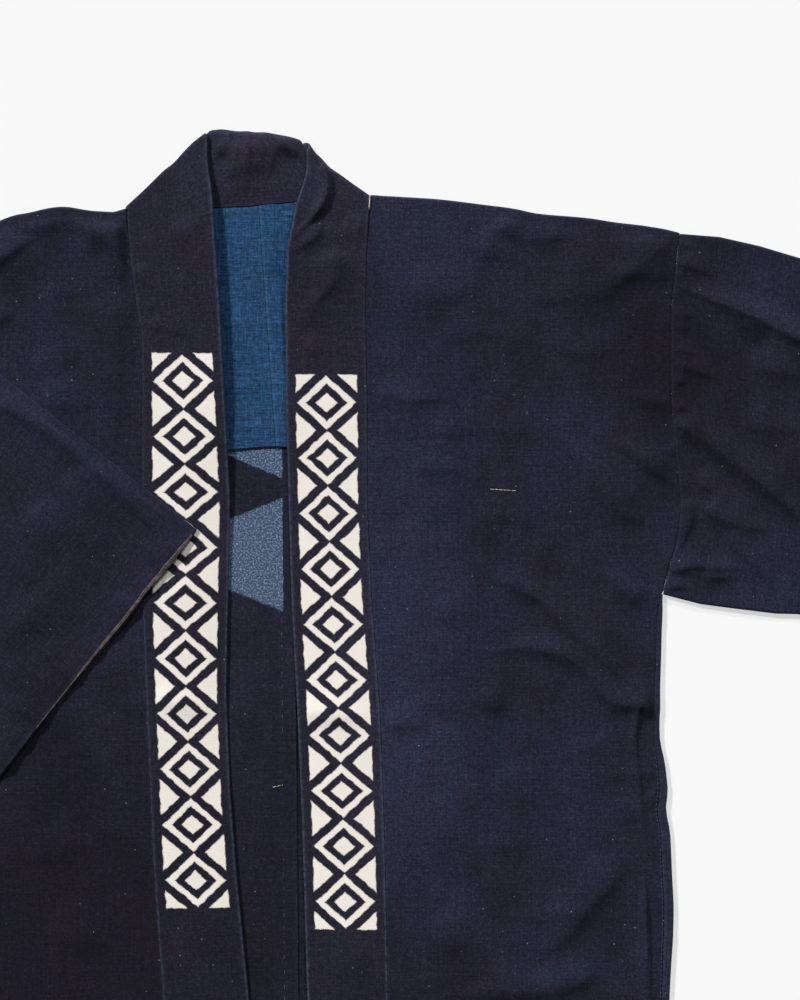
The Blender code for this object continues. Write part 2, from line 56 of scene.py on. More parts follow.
# ---------------------------------------------------------------- driving dimensions
MM = 0.001
WALL = 0.6 * MM             # one layer of cotton
LINING_WALL = 0.5 * MM
FACING_WALL = 0.4 * MM
SEAM_GAP = 0.3 * MM         # between two pieces that are sewn together
HEM_Y = -0.820
FRONT_HEM_Y = -0.816
FRONT_WIDTH = 0.205         # from the collar's seam to the side
BACK_SEAM_X = 0.0137
BACK_SEAM_SLANT = -0.0075
LINING_SEAM_X = -0.0027
LINING_SEAM_SLANT = -0.0703
LINING_HEM_Y = -0.186
LINING_MARGIN = 0.014
BAND_WIDTH = 0.060
SLEEVE_LENGTH = 0.333
ARMHOLE_DEPTH = 0.262
ARMHOLE_SHARE = 0.333       # of the body's length, at its side
CUFF_DEPTH = 0.245
NECK_TRIM = 0.0010

BACK_Z = 0.6 * MM
LINING_Z = 1.75 * MM
FRONT_Z = 4.2 * MM
NECK_Z = 1.3 * MM
COLLAR_Z = 4.6 * MM
NECK_FOLD_Z = 5.0 * MM
COLLAR_HALF = 0.75 * MM     # the collar's two layers lie this far from its middle
LAYERS_HALF = (FRONT_Z - BACK_Z) / 2
SHOULDER_INSET = WALL + LAYERS_HALF
SIDE_ROLL = 1.3 * MM        # a sewn edge rolls down over this width
SIDE_DROP = 0.9 * MM        # and by this much
FRONT_EASE = 0.010          # the fronts rise to the collar over this width
HEM_DEPTH = 0.022           # the hem is turned up by this
HEM_STEP = 0.5 * MM
LINING_HEM = 0.017
LINING_ALLOWANCE = 0.0125
LINING_PRESSED = 0.7 * MM   # its seam allowance stands up by this
LINING_HEM_LIFT = 3.2 * MM  # its hem is drawn up by this at its seam
BACK_ALLOWANCE = 0.009
BACK_PRESSED = 0.4 * MM     # this seam allowance stands up by this
BACK_LOOSER = 0.3 * MM      # and by this much more below the lining
COLLAR_CROWN = 0.3 * MM     # the collar is fuller along its middle by this
LINING_TUCK = 0.003         # the lining goes this far under the collar
FADED_STRIP = 0.019         # the folded sleeve is paler along its shoulder fold
ARMPIT_Y = -0.285
CALM_BY_SIDE, CALM_BY_FOLD = 0.85, 0.75     # the share of its creases that the front loses there
# How broad and how high the broad, the small and the fine rumples of the cloth are.
RUMPLES = (0.060, 0.8 * MM), (0.022, 0.34 * MM), (0.009, 0.13 * MM)
ROUNDING = 0.006            # corners of the outlines are rounded over about this length

SHIFT = Vector((
    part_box("lining_left")[0].x - SEAM_GAP / 2,
    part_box("body_left")[0].y - HEM_Y,
    0.0,
))

# ---------------------------------------------------------------- mesh density
FINE = 2.2                  # cells of the cloth that shows, in millimetres
BACK_CELL = 7.5             # of the inside of the back
COARSE = 9                  # and of the flat underside
BEND_STEPS = 8


# ---------------------------------------------------------------- outlines
def table(columns, *rows):
    """Rows with named columns. They are written in millimetres and kept in metres."""
    row_type = namedtuple("Row", columns)
    return [row_type(*(length * MM for length in row)) for row in rows]


# Centre-back seam to the armhole or the side, and how far the side seam lies in from that edge.
HALF_WIDTHS = table("y half wrap",
    (-25, 295.4, 0), (-39, 293.1, 0), (-80, 288.4, 0), (-152, 287.9, 0), (-190, 291.2, 0),
    (-222, 294.5, 0), (-249, 292.2, 0), (-270, 286, 0), (-291, 280.3, 0.4), (-296, 280.5, 2),
    (-305, 280.8, 4), (-318, 279.8, 4), (-330, 279.6, 4), (-368, 278, 4), (-392, 277.6, 4),
    (-400, 277.6, 4.5), (-415, 281.4, 5.5), (-438, 283.7, 6.5), (-451, 281.1, 6.5), (-465, 285, 7.2),
    (-500, 286.2, 7.4), (-522, 287.3, 7.4), (-545, 286.6, 7.4), (-565, 285, 6.6), (-592, 283.4, 6),
    (-820, 283.1, 6),
)
# The shoulder folds, from the collar to the armhole.
SHOULDER_LEFT = table("x y",
    (79.9, 3.7), (100, 2.7), (126.5, 1.1), (143, -0.7), (168.7, -4), (185, -6), (205.7, -10.6),
    (224, -11.8), (244, -13.6), (260, -16.6), (280, -19), (301, -21.9), (309.3, -24.7),
)
SHOULDER_RIGHT = table("x y",
    (-100, -4.2), (-104, -9.2), (-108, -9.2), (-118, -9), (-129, -8), (-138, -5.5), (-148, -4.6),
    (-156, -5.9), (-164, -7.6), (-171.7, -10.1), (-185, -11.1), (-193.9, -16), (-240, -26.2),
    (-281.5, -37.5),
)
# The collar down each front: the edge sewn to the front, and the free edge.
BAND_LEFT = table("y seam free",
    (45, 79.9, 33), (26, 79.9, 34), (7, 79.9, 29.6), (-4, 79.6, 25.2), (-19, 78.4, 22.9),
    (-33, 77.4, 19.2), (-74, 76.2, 17.8), (-148, 77.7, 18.2), (-222, 77.7, 20.1), (-296, 81.2, 22.2),
    (-380, 87.4, 26.6), (-459, 90.3, 30), (-592, 93.2, 34), (-820, 98.4, 40),
)
BAND_RIGHT = table("y seam free",
    (50, -100, -42.2), (0, -100, -36.3), (-9, -99.8, -35.8), (-25, -98.4, -34.8), (-50, -96.2, -33),
    (-81, -91.8, -30.8), (-102, -88, -29.9), (-163, -88.1, -26.6), (-222, -88, -23.7),
    (-300, -87.7, -25.2), (-363, -85.3, -26.6), (-437, -82, -23.7), (-496, -79.4, -19.2),
    (-592, -72.5, -9.6), (-820, -64.4, 0),
)
# The back of the collar, from the fold at the wearer's right shoulder to the one at the left.
NECK_SECTIONS = table("seam_x seam_y free_x free_y",
    (-99, -7, -39.9, 50.3), (-94, -7.2, -40, 52.9), (-85, -7.5, -37.5, 53.4), (-62, -6.6, -31, 52.3),
    (-37, -5.9, -22.5, 51), (-24, -5.5, -16.5, 50.2), (-12, -5, -10, 50.8), (-2, -4.2, -4.5, 49.1),
    (8, -3.2, 1, 50.2), (18, -2.2, 9, 48.4), (30, -1, 17, 47), (55, 1, 25, 45.8), (70, 2.3, 28.8, 45.3),
    (76.5, 2.8, 30, 42.1),
)
# Where the band's free edge comes over each shoulder fold, over what length it swings into line, and
# how far it stands up.
SHEAR_LEFT, SHEAR_RIGHT = table("fold_x fold_y over lift", (33.5, 38, 55, 1.4), (-40.2, 49.6, 40, 5))
# The shoulder folds of the collar sag below a straight line, from the sewn edge to the free one.
DIP_LEFT = table("across down",
    (0, 2), (6, 2.6), (15.6, 3.8), (23.4, 4.4), (31.2, 5.2), (39.6, 6.4), (43.2, 5.8), (46.8, 4.7),
    (51, 4.3), (54.6, 5), (60, 0.7),
)
DIP_RIGHT = table("across down",
    (0, 1.6), (13.8, 2), (30, 1.4), (36.6, 3.2), (43.2, 1.7), (49.2, 1.2), (54.6, 1.4), (57.6, 2.7),
    (60, 2.6),
)
DIP_REACH = 0.030
DIP_ROUNDING = 0.003
SAG_FROM, SAG_OVER = 0.11, 0.15   # lower down, the free edges sink towards the back
SAGGED_Z = 2.7 * MM
# The spread sleeve's shoulder fold and lower fold, from the armhole out.
SLEEVE_TOP = table("x y",
    (309.6, -25.2), (338.9, -27.5), (368.5, -34.2), (397.4, -42.9), (490, -65), (635, -93),
)
SLEEVE_BOTTOM = table("x y",
    (296.4, -291.9), (324.1, -299.1), (347.8, -302.2), (380, -306.1), (395.2, -306.4), (465, -315),
    (593, -334.5),
)

# ---------------------------------------------------------------- the folded sleeve
FOLDED_TIP = np.array((-0.0481, -0.2435))   # its cuff's corner, at the shoulder edge
FOLDED_AXIS = np.array((0.785, -0.619)) / math.hypot(0.785, 0.619)
FOLD_LINE = np.array((-0.248, -0.969)) / math.hypot(0.248, 0.969)
OFF_FOLD = np.array((FOLD_LINE[1], -FOLD_LINE[0]))
UNFOLDED_AXIS = FOLD_LINE * (FOLDED_AXIS @ FOLD_LINE) * 2 - FOLDED_AXIS
TO_FOLD = OFF_FOLD @ UNFOLDED_AXIS
FOLD_FROM_SEAM = 0.006
FOLD_RADIUS = 0.0036
FOLD_ROUND = math.pi * FOLD_RADIUS          # cloth taken up by the turn
FOLD_ENDS = FOLD_FROM_SEAM + FOLD_ROUND / TO_FOLD
ARMHOLE_SLANT = 0.029
FLAT_HALF = 0.0009          # half of the space between its layers
FLATTENS_OVER = 0.04
CUFF_GAPE = 0.0014          # how far the upper layer lifts at the cuff's lower corner
GAPE_REACH = 0.075
SETTLE_REACH = 0.060
EDGE_SINKS, SINK_REACH = 0.3 * MM, 0.009    # the shoulder edge lies down on the front
OVER_FRONT = 1.6 * MM
ON_COLLAR_Z = 0.0076
COLLAR_REACH = 0.035
# The cuff's upper layer ends this far short of the pattern's line, by the distance down it.
CUFF_TRIM = table("down by",
    (0, -0.2), (10, -0.6), (30, -1.4), (44, -0.7), (59, 0.5), (80, -0.3), (118, 1), (141, 1.5),
    (163, 1.8), (185, 1.8), (207, 1), (262, 1.2),
)
# The lower layer reaches this much further than the upper one.
CUFF_STEP = table("down by",
    (0, 0.4), (60, 1), (80, 2.2), (140, 2.2), (180, 1.4), (262, 0.8),
)
TRIM_REACH = 0.03
# How much of the facing shows beyond the upper layer.
FACING_SHOWN = table("down by",
    (0, 0.6), (10, 1.2), (18, 2.4), (32, 3.4), (48, 2.8), (70, 2.4), (100, 2.4), (125, 1.6), (146, 0.8),
    (165, 0.3), (262, 0.3),
)
FACING_DEPTH = 0.03
FACING_BACK = 0.5 * MM      # inside, the facing stops this far short of the cuff's edge
FACING_SHOWS = 0.004, 0.190 # the stretch of the cuff along which it has worked its way out
FACING_ROWS = 0.007         # the rows of the strip begin this far up the sleeve
# Then the strip turns down over the edge: how far out and how far down, in millimetres.
FACING_TURN = (0.35, 0.25), (0.4, 0.7), (0.1, 1.05), (-3.0, 1.1)
# How pale each row of the strip is. Rubbed and dark rows lie side by side, like frayed yarns.
FACING_FRAY = 0.1, 1.0, 0.2, 0.9, 0.3, 1.1, 0.6, 0.2, 0.0, 0.0

# ---------------------------------------------------------------- folds and creases
Crease = namedtuple("Crease", "width height start line")


def crease_table(*rows):
    """Each row has a crease's width and height, the share of its line over which it comes up, and
    then x and y of each point of that line. Lengths are written in millimetres."""
    return [Crease(width * MM, height * MM, start, np.reshape(line, (-1, 2)) * MM)
            for width, height, start, *line in rows]


# Each is a ridge along a line of points. It falls away quickly on the side that FALLS_TOWARDS
# points to, over its width, and rises gently on the other.
FALLS_TOWARDS = 0.4, -0.92
GENTLE = 2.4
SOFTNESS = 0.30             # of the crest, against its width
FROM_SEAM = 0.08            # a crease that comes up over a smaller share starts in a seam
LARGE_FOLDS = crease_table(
    (16, 2.2, 0.3, 305, -24, 170, -66),
    (20, 1.9, 0.3, 300, -155, 480, -255),
    (22, 1.7, 0.3, 200, -150, 300, -250),
    (18, 1.5, 0.3, 170, -300, 285, -365),
    (20, 2.1, 0.3, 290, -470, 190, -560),
    (26, 1.7, 0.3, 120, -640, 240, -760),
    (22, 2, 0.3, 520, -150, 610, -300),
    (10, 1.3, 0.3, 300, -276, 380, -270),
    (14, 1, 0.3, -215, -45, -135, -10),
    (24, 1.7, 0.3, -240, -440, -140, -560),
    (26, 1.7, 0.3, -225, -700, -110, -640),
)
CREASES = crease_table(
    (9.6, 5.2, 0.05, 307.1, -26.6, 287.1, -40.7, 263.4, -57.7, 239.8, -67.3),
    (13.3, 5.4, 0.3, 279.7, -51.8, 259, -63.6, 231.6, -71, 183.5, -72.5),
    (5.9, 2.7, 0.05, 304.9, -56.2, 279.7, -55.5, 259, -58.5),
    (4.4, 4.3, 0.2, 172.4, -11.1, 182, -23.7, 193.1, -32.6),
    (5.9, 3.4, 0.2, 226.4, -25.9, 209.4, -28.9, 191.7, -31.8),
    (6.7, 3, 0.3, 180.6, -42.9, 161.3, -37, 145.8, -34),
    (5.2, 1.7, 0.3, 127.3, -100.6, 153.9, -99.2, 185, -95.5),
    (4.4, 2.4, 0.1, 81.4, -141.3, 102.9, -148, 124.3, -147.3, 151, -145),
    (5.2, 1.5, 0.3, 111, -171.7, 161.3, -170.9, 209.4, -172.4),
    (4.4, 2.2, 0.2, 109.5, -197.6, 139.1, -199.1, 164.3, -202),
    (3.7, 2.2, 0.04, 305.6, -151.7, 287.1, -149.5, 264.9, -141.3),
    (4.4, 4.3, 0.35, 306.4, -214.6, 290.8, -199.8, 268.6, -183.5, 248.6, -176.1),
    (8.1, 5.7, 0.3, 292.3, -242.7, 262.7, -227.9, 234.6, -191.7, 209.4, -166.5),
    (3.7, 3.6, 0.3, 281.9, -302.7, 266.4, -288.6, 251.6, -270.8),
    (5.9, 6.3, 0.35, 272.3, -359.6, 248.6, -334.5, 225.7, -315.2, 209.4, -299, 187.2, -285.6, 165, -276.8),
    (6.7, 3.9, 0.2, 211.6, -297.5, 183.5, -284.2, 162.1, -279),
    (5.9, 6.5, 0.12, 297.5, -378.1, 279.7, -373, 261.2, -371.5, 248.6, -361.1, 238.3, -346.3, 222, -336.7,
     199.8, -331.5, 179.8, -332.3, 153.9, -340.4),
    (3.7, 3.9, 0.1, 296, -379.6, 283.4, -374.4, 266.4, -373),
    (5.2, 3.2, 0.3, 183.5, -374.4, 165, -371.5, 147.3, -366.3),
    (4.4, 2.1, 0.1, 85.8, -388.5, 113.2, -387.8, 137.6, -389.2),
    (1.7, 2.7, 0.1, 279, -370, 276, -395.9, 276.5, -412.2, 280.1, -442.5, 283.4, -473.6, 285.6, -503.2),
    (3, 2.7, 0.1, 280.5, -441.8, 290.1, -444.7, 297.5, -448.4),
    (9.6, 6.5, 0.2, 271.6, -484.7, 254.6, -506.2, 238.3, -525.4, 220.5, -547.6, 187.2, -571.3),
    (5.2, 2.4, 0.2, 242.7, -523.2, 224.2, -527.6, 199.8, -530.6, 176.1, -529.8),
    (6.7, 5.6, 0.15, 250.1, -568.3, 235.3, -577.2, 202.8, -585.3, 154.7, -588.3, 124.3, -588.3),
    (1.9, 4.2, 0.3, 283.4, -484.7, 283.4, -525.4, 284.6, -558, 285.6, -592, 285.6, -636.4, 284.2, -658.6),
    (5.9, 1.6, 0.2, 281.9, -442.5, 264.9, -458.8, 245.7, -479.5),
    (7.4, 1.6, 0.3, 100.6, -74.7, 131.7, -71.8, 162.8, -62.9),
    (5.2, 1.3, 0.3, 259, -399.6, 242.7, -405.5, 219, -414.4),
    (3.7, 1.4, 0.1, 293, -421.8, 272.3, -425.5, 248.6, -429.9),
    (3, 2, 0.05, 296.7, -422.5, 291.6, -424, 284.2, -424.8),
    (3, 2, 0.05, 299, -435.1, 293, -436.6, 285.6, -435.9),
    (3, 1.8, 0.05, 299.7, -460.3, 293, -458.8, 285.6, -460.3),
    (7.4, 2, 0.3, 102.1, -266.4, 120.6, -257.5, 135.4, -250.1),
    (8.9, 2.5, 0.3, 153.9, -481, 183.5, -475.1, 220.5, -472.1),
    (8.9, 3.5, 0.3, 116.9, -540.2, 139.1, -546.1, 164.3, -556.5),
    (5.9, 2.3, 0.3, 153.9, -229.4, 190.9, -236.8, 220.5, -251.6),
    (6.7, 2, 0.3, 124.3, -310.8, 153.9, -304.9, 176.1, -309.3),
    (6.7, 2.6, 0.3, 176.1, -414.4, 190.9, -436.6, 220.5, -452.9),
    (6.7, 2.2, 0.3, 205.7, -103.6, 235.3, -112.5, 279.7, -111),
    (5.2, 9.6, 0.5, 299.7, -62.2, 324.1, -71, 342.6, -78.4, 366.3, -88.8, 398.1, -105.1, 449.9, -130.2),
    (8.9, 3.3, 0.3, 324.1, -77.7, 368.5, -99.2, 412.9, -119.9, 464.7, -140.6),
    (3, 2.6, 0.05, 304.9, -31.8, 313.8, -33.3, 324.1, -36.3),
    (3.7, 2.9, 0.05, 305.6, -45.9, 324.1, -51.8, 337.4, -59.9),
    (2.7, 2.1, 0.05, 304.1, -85.8, 312.3, -85.8, 321.9, -86.6),
    (2.7, 1.7, 0.05, 304.1, -94.7, 310.8, -94.7, 318.9, -95.5),
    (3, 2.5, 0.05, 303.4, -111.7, 312.3, -112.5, 324.1, -114.7),
    (4.4, 3.5, 0.05, 303.4, -121.4, 326.3, -128, 344.1, -139.1),
    (2.7, 1.9, 0.05, 303.4, -134.7, 309.3, -134.7, 316.7, -135.4),
    (3, 2.5, 0.05, 302.7, -153.9, 309.3, -154.7, 319.7, -156.9),
    (5.5, 6.4, 0.05, 303.4, -164.3, 316.7, -171.7, 334.5, -184.3, 366.3, -207.9, 398.1, -235.3,
     431.4, -263.4),
    (6.7, 6, 0.25, 320.4, -222.7, 350, -239.8, 384.8, -244.2),
    (3.4, 4.1, 0.1, 310.1, -220.5, 316.7, -231.6, 314.5, -244.2, 307.8, -260.5),
    (3, 3.4, 0.1, 300.4, -276, 309.3, -273.1, 318.2, -270.8, 342.6, -272.3, 361.1, -273.8),
    (3.1, 3, 0.1, 324.9, -279.7, 338.9, -279, 353.7, -281.2),
    (3, 3.1, 0.2, 296, -288.6, 305.6, -286.4, 318.2, -287.1),
    (5.2, 3.2, 0.2, 340.4, -244.9, 361.1, -266.4, 384.8, -290.1),
    (8.9, 3.8, 0.3, 350, -165.8, 375.9, -168.7, 402.6, -171.7),
    (2.2, 1.8, 0.2, 302.7, -177.6, 306.4, -186.5, 307.8, -195.4),
    (5.2, 3, 0.2, 316.7, -205.7, 333, -214.6, 346.3, -225.7),
    (10.4, 5.4, 0.3, 353.7, -118.4, 383.3, -127.3, 420.3, -133.2),
    (5.9, 6.8, 0.05, -211.6, -56.2, -193.9, -45.1, -176.9, -34, -162.8, -28.9),
    (8.1, 4.1, 0.2, -188, -22.2, -156.1, -17, -127.3, -13.3),
    (8.1, 7.8, 0.5, -146.5, -15.5, -127.3, -22.2, -112.5, -31.8, -102.9, -45.9),
    (5.9, 5.7, 0.1, -103.6, -10.4, -103.6, -29.6, -102.9, -48.8, -103.6, -74),
    (8.1, 4, 0.15, -105.8, -63.6, -106.6, -103.6, -107.3, -148, -107.3, -199.8),
    (3.7, 3, 0.2, -183.5, -80.7, -193.9, -88.8, -207.2, -97.7),
    (8.9, 2.2, 0.3, -173.2, -122.8, -149.5, -118.4, -122.1, -111.7),
    (5.9, 1.6, 0.2, -164.3, -74, -146.5, -71.8, -125.8, -65.9),
    (10.4, 3.1, 0.2, -153.2, -31.1, -179.1, -50.3, -204.2, -75.5),
    (8.9, 2.4, 0.2, -179.1, -489.9, -149.5, -482.5, -111, -472.1),
    (8.9, 3.4, 0.2, -164.3, -540.2, -134.7, -546.1, -103.6, -556.5),
    (7.4, 2.3, 0.2, -171.7, -148, -142.1, -151.7, -112.5, -146.5),
    (5.9, 4, 0.2, -238.3, -45.9, -262, -63.6, -286.4, -77.7),
    (6.7, 6.5, 0.2, -264.2, -159.1, -245.7, -177.6, -222, -201.3),
    (5.2, 5, 0.2, -239.8, -293.8, -223.5, -310.8, -207.2, -334.5),
    (6.7, 6.5, 0.2, -275.3, -481, -253.1, -506.9, -223.5, -540.2),
    (6.7, 4.5, 0.2, 266.4, -627.5, 242.7, -637.9, 217.6, -652.7),
    (7.4, 5.4, 0.2, 115.4, -679.3, 146.5, -694.1, 177.6, -703),
    (6.7, 4.9, 0.2, -149.5, -651.2, -127.3, -664.5, -96.2, -673.4),
    (7.4, 4, 0.2, -239.8, -682.3, -208.7, -673.4, -177.6, -657.1),
    (7.4, 8.4, 0.1, 417.4, -112.5, 442.5, -127.3, 475.8, -143.6),
    (7.4, 7, 0.1, 418.8, -236.8, 442.5, -253.1, 475.8, -267.9),
    (7.4, 4.4, 0.2, 426.2, -177.6, 457.3, -185, 495.8, -189.4),
)
COLLAR_CREASES = crease_table(
    (1.9, 5.5, 0.15, 44.4, 32.6, 48.1, 19.2, 48.8, 7.4, 45.1, -3.7, 37, -14.8, 28.1, -23.7, 17.8, -34),
    (3.7, 3, 0.2, 44.4, -16.3, 40, -26.6, 31.1, -34, 20.7, -40),
    (5.9, 4, 0.2, 54, -32.6, 55.5, -45.9, 53.3, -59.9, 42.9, -72.5, 31.1, -83.6),
    (5.2, 1.8, 0.2, 46.6, -66.6, 35.5, -85.8, 25.2, -101.4),
    (3.7, 1.8, 0.2, -97.7, -48.1, -90.3, -57.7, -77, -67.3),
    (4.4, 1.5, 0.1, -87.3, -91.8, -63.6, -96.9, -40, -102.9),
    (3.7, 1.3, 0.3, -88.1, -75.5, -82.9, -79.2, -75.5, -83.6),
    (5.9, 2.3, 0.2, -68.1, -14.8, -57, -27.4, -47.4, -40),
    (5.2, 2.3, 0.3, 65.1, -7.4, 71, -22.2, 74, -38.5),
    (4.4, 1.5, 0.2, 26.6, -107.3, 39.2, -111, 51.8, -112.5),
    (4.4, 2.6, 0.1, 26.6, -379.6, 57.7, -381.8, 88.8, -386.3),
    (4.4, 1.9, 0.1, -81.4, -370, -53.3, -374.4, -26.6, -380.4),
    (7.4, 2.8, 0.2, -71, -540.2, -45.9, -547.6, -22.2, -562.4),
    (7.4, 2, 0.2, 87.3, -555, 65.1, -563.9, 41.4, -568.3),
    (2.1, 6.4, 0.1, 9.6, 45.1, 16.3, 39.2, 23.7, 35.5, 30.3, 28.9),
    (3.1, 2.9, 0.2, 5.9, 45.9, 8.1, 33.3, 4.4, 15.5),
    (3.3, 4.4, 0.1, -21.5, 44.4, -29.6, 37, -38.5, 31.1),
    (5.2, 5.4, 0.2, -29.6, 17, -16.3, 22.9, 0, 24.4, 10.4, 20),
    (3.3, 4, 0.05, -11.1, 47.4, -9.6, 34, -8.9, 22.2),
    (3.3, 3.8, 0.05, -0.7, 47.4, 0.7, 37, -0.7, 26.6),
    (3.3, 3.1, 0.05, -17, 46.6, -19.2, 33.3, -22.9, 23.7),
    (2.5, 1.5, 0.2, -29.6, 5.2, -8.9, 9.6, 13.3, 7.4),
)
BACK_FOLDS = crease_table(
    (7, 1.6, 0.2, 7, -323, -6, -380, -16, -418, -10, -480),
    (6, 1.5, 0.2, 9, -376, 4, -430, 0, -480, -10, -545),
    (4, 1.2, 0.2, -28, -380, -15, -382, -4, -388),
    (6, 1, 0.3, -8, -560, 2, -620, 8, -700),
)
LINING_FOLDS = crease_table(
    (4, 0.7, 0.2, -34, -88, -5, -92, 30, -90),
    (4, 0.6, 0.2, -34, -142, -8, -138, 20, -133),
    (4, 0.5, 0.2, -32, -42, 0, -48, 25, -54),
    (3, 0.5, 0.2, -26, -172, -8, -168, 16, -175),
)
FOLDED_CREASES = crease_table(
    (6.7, 5.4, 0.1, -202.8, -143.6, -141.3, -182, -88.8, -233.8, -54, -261.2),
    (3.3, 2.4, 0.05, -68.1, -276, -82.9, -260.5, -94.7, -248.6),
    (3, 2, 0.05, -59.2, -265.7, -69.6, -253.8, -77, -247.2),
    (3.1, 1.8, 0.05, -77, -291.6, -87.3, -279.7, -94.7, -272.3),
    (3.1, 2.2, 0.05, -91.8, -307.1, -103.6, -296.7, -112.5, -290.1),
    (3.1, 1.5, 0.05, -105.8, -324.9, -115.4, -313.8, -122.8, -307.8),
    (3.1, 1.5, 0.05, -118.4, -341.9, -128.8, -330, -136.2, -324.1),
    (3.1, 2, 0.05, -131.7, -359.6, -146.5, -347.8, -158.4, -340.4),
    (3.3, 1.6, 0.05, -145.8, -367, -162.8, -352.2, -176.1, -343.4),
    (3.7, 1.4, 0.05, -156.1, -390.7, -177.6, -376.7, -193.9, -367.8, -208.7, -362.6),
    (3.3, 1.9, 0.05, -170.9, -407.7, -185, -393.7, -196.8, -386.3),
    (3.7, 2.1, 0.05, -183.5, -424.8, -199.8, -408.5, -213.1, -401.1),
    (7.4, 2.8, 0.2, -149.5, -199.8, -125.8, -236.8, -111, -270.8),
    (7.4, 3.5, 0.2, -173.2, -222, -161.3, -244.2, -151, -267.9),
    (8.9, 4.3, 0.2, -188, -296, -171.7, -309.3, -155.4, -327.1),
    (8.9, 5.4, 0.2, -238.3, -236.8, -227.2, -281.2, -216.1, -327.1),
    (8.9, 6, 0.2, -262, -325.6, -242.7, -349.3, -222, -371.5),
    (6.7, 3.1, 0.2, -125.8, -186.5, -97.7, -216.1, -68.1, -239.8),
)

# ---------------------------------------------------------------- dyed designs, light and cuts
CHAIN_FROM = 0.2118         # along the band from the back of the neck
CHAIN_OFF = 0.0093          # the band was sewn on this far off its middle
CHAIN_PITCH = 0.041
CHAIN_ROWS = 10
CHAIN_HALF = 0.0235
# From the largest up: the height of each one's middle, half its width and half its height.
BACK_LOZENGES = (-0.254, 0.105, 0.042), (-0.1635, 0.080, 0.034), (-0.091, 0.055, 0.026)
STENCIL_SHAKE = 2.6 * MM    # a hand-cut stencil's edges stray by up to half of this

THREAD_LIFT = 0.25 * MM     # stitches stand up from the cloth by about this
# Rings along a stitch: the share of its length, its girth and how high it rises.
STITCH_RINGS = (0, 0.35, -0.6), (0.2, 0.85, 0.5), (0.8, 0.85, 0.5), (1, 0.35, -0.6)
STITCH_SIDES = 6

# How far apart the uneven yarns' slubs are across and along the cloth, in millimetres, and how
# strongly they show.
YARNS = (
    (0.9, 4.0, 0.45), (4.0, 0.9, 0.5), (1.6, 1.6, 1.0), (3.4, 3.4, 0.6), (1.2, 45.0, 0.4), (45.0, 1.2, 0.45),
)
COARSE_YARNS = (0.8, 7, 0.7), (7, 0.8, 0.8), (1.5, 1.5, 0.8), (1.2, 30, 0.6), (30, 1.2, 0.8), (4, 4, 0.6)
TINT_PATCHES = 0.030        # the vat left it a little redder here and bluer there
VIOLET_TINT, BLUE_TINT = (1.10, 0.96, 0.99, 1.0), (0.88, 1.03, 1.03, 1.0)
FADED = 0.40                # how faded the dye is, from 0 to 1
FADED_PATCHES = (0.07, 0.9), (0.018, 0.4)
# Paler or darker places, partly faded dye and partly painted light and shade: middle, half width,
# half height and by how much, in metres.
FADE_AND_SHADE_PLACES = (
    (0.098, -0.330, 0.075, 0.330, 0.60),
    (0.105, -0.440, 0.060, 0.080, 0.16),
    (0.120, -0.010, 0.120, 0.090, 0.40),
    (0.000, 0.020, 0.140, 0.070, 0.36),
    (0.290, -0.100, 0.120, 0.150, -0.36),
    (0.370, -0.170, 0.130, 0.130, -0.10),
    (0.365, -0.280, 0.090, 0.060, 0.28),
    (-0.150, -0.560, 0.260, 0.260, -0.55),
    (-0.170, -0.380, 0.120, 0.200, -0.10),
    (0.140, -0.620, 0.260, 0.100, -0.28),
)

LINT_CELL = 0.008

SKY = 0.13
SKY_COLOUR = 0.97, 0.985, 1.0, 1.0
# Each softbox: where it stands as seen from the coat, and its strength.
LAMPS = {"left softbox": ((-0.75, 0.75, 0.70), 3.50), "top softbox": ((0.45, 1.0, 0.66), 1.50)}
LAMP_SPREAD = math.radians(8)
SURFACE_REACH = 4.0
CAMERA_HEIGHT = 2.4
FILM_HEIGHT = 24.0
VIEW_HEIGHT = 0.740
VIEW_CENTRE = 0.1021, -0.2220

# The cut of what shows of each piece, in metres, its area, how it lies and what it lies on.
CUTS = {
    "body_cloth_left": ((0.288, 1.64), 0.42, "laid", ["surface"]),
    "body_cloth_right": ((0.288, 1.64), 0.42, "laid", ["surface"]),
    "lining_cloth_left": ((0.28, 0.19), 0.050, "laid", ["body_cloth_left"]),
    "lining_cloth_right": ((0.28, 0.19), 0.050, "laid", ["body_cloth_right"]),
    "collar_band": ((0.122, 1.87), None, "folded", ["body_cloth_left", "body_cloth_right"]),
    "sleeve_cloth_left": ((0.52, 0.335), 0.168, "laid", ["surface"]),
    "sleeve_cloth_right": ((0.52, 0.335), 0.168, "folded", ["body_cloth_right", "collar_band"]),
    "cuff_facing_right": ((0.49, 0.032), None, "folded", ["sleeve_cloth_right"]),
}


# ---------------------------------------------------------------- small helpers
def smooth(t):
    t = np.clip(t, 0.0, 1.0)
    return t * t * (3 - 2 * t)


def mix(a, b, t):
    return a + (b - a) * t


def stack(*columns):
    return np.stack(np.broadcast_arrays(*columns), axis=-1)


def unit(ways):
    return ways / np.linalg.norm(ways, axis=-1, keepdims=True)


def travelled(points):
    """How far along a line of points each one is."""
    return np.concatenate([[0], np.cumsum(np.linalg.norm(np.diff(points, axis=0), axis=1))])


def placed(name, data):
    made = bpy.data.objects.new(name, data)
    bpy.context.scene.collection.objects.link(made)
    return made


def read(rows, key, column, at, rounding=ROUNDING):
    """The table's column at a value of its key, with the corners between its rows rounded."""
    keys, values = np.array(sorted((getattr(row, key), getattr(row, column)) for row in rows)).T
    taps = rounding * np.linspace(-1, 1, 5)
    return sum(np.interp(np.asarray(at) + tap, keys, values) for tap in taps) / len(taps)


def walk(rows, share):
    """A point at a share of the way along a table of x and y, measured on its length."""
    points = np.array([(row.x, row.y) for row in rows])
    marks = travelled(points)
    return stack(*(np.interp(share, marks / marks[-1], column) for column in points.T))


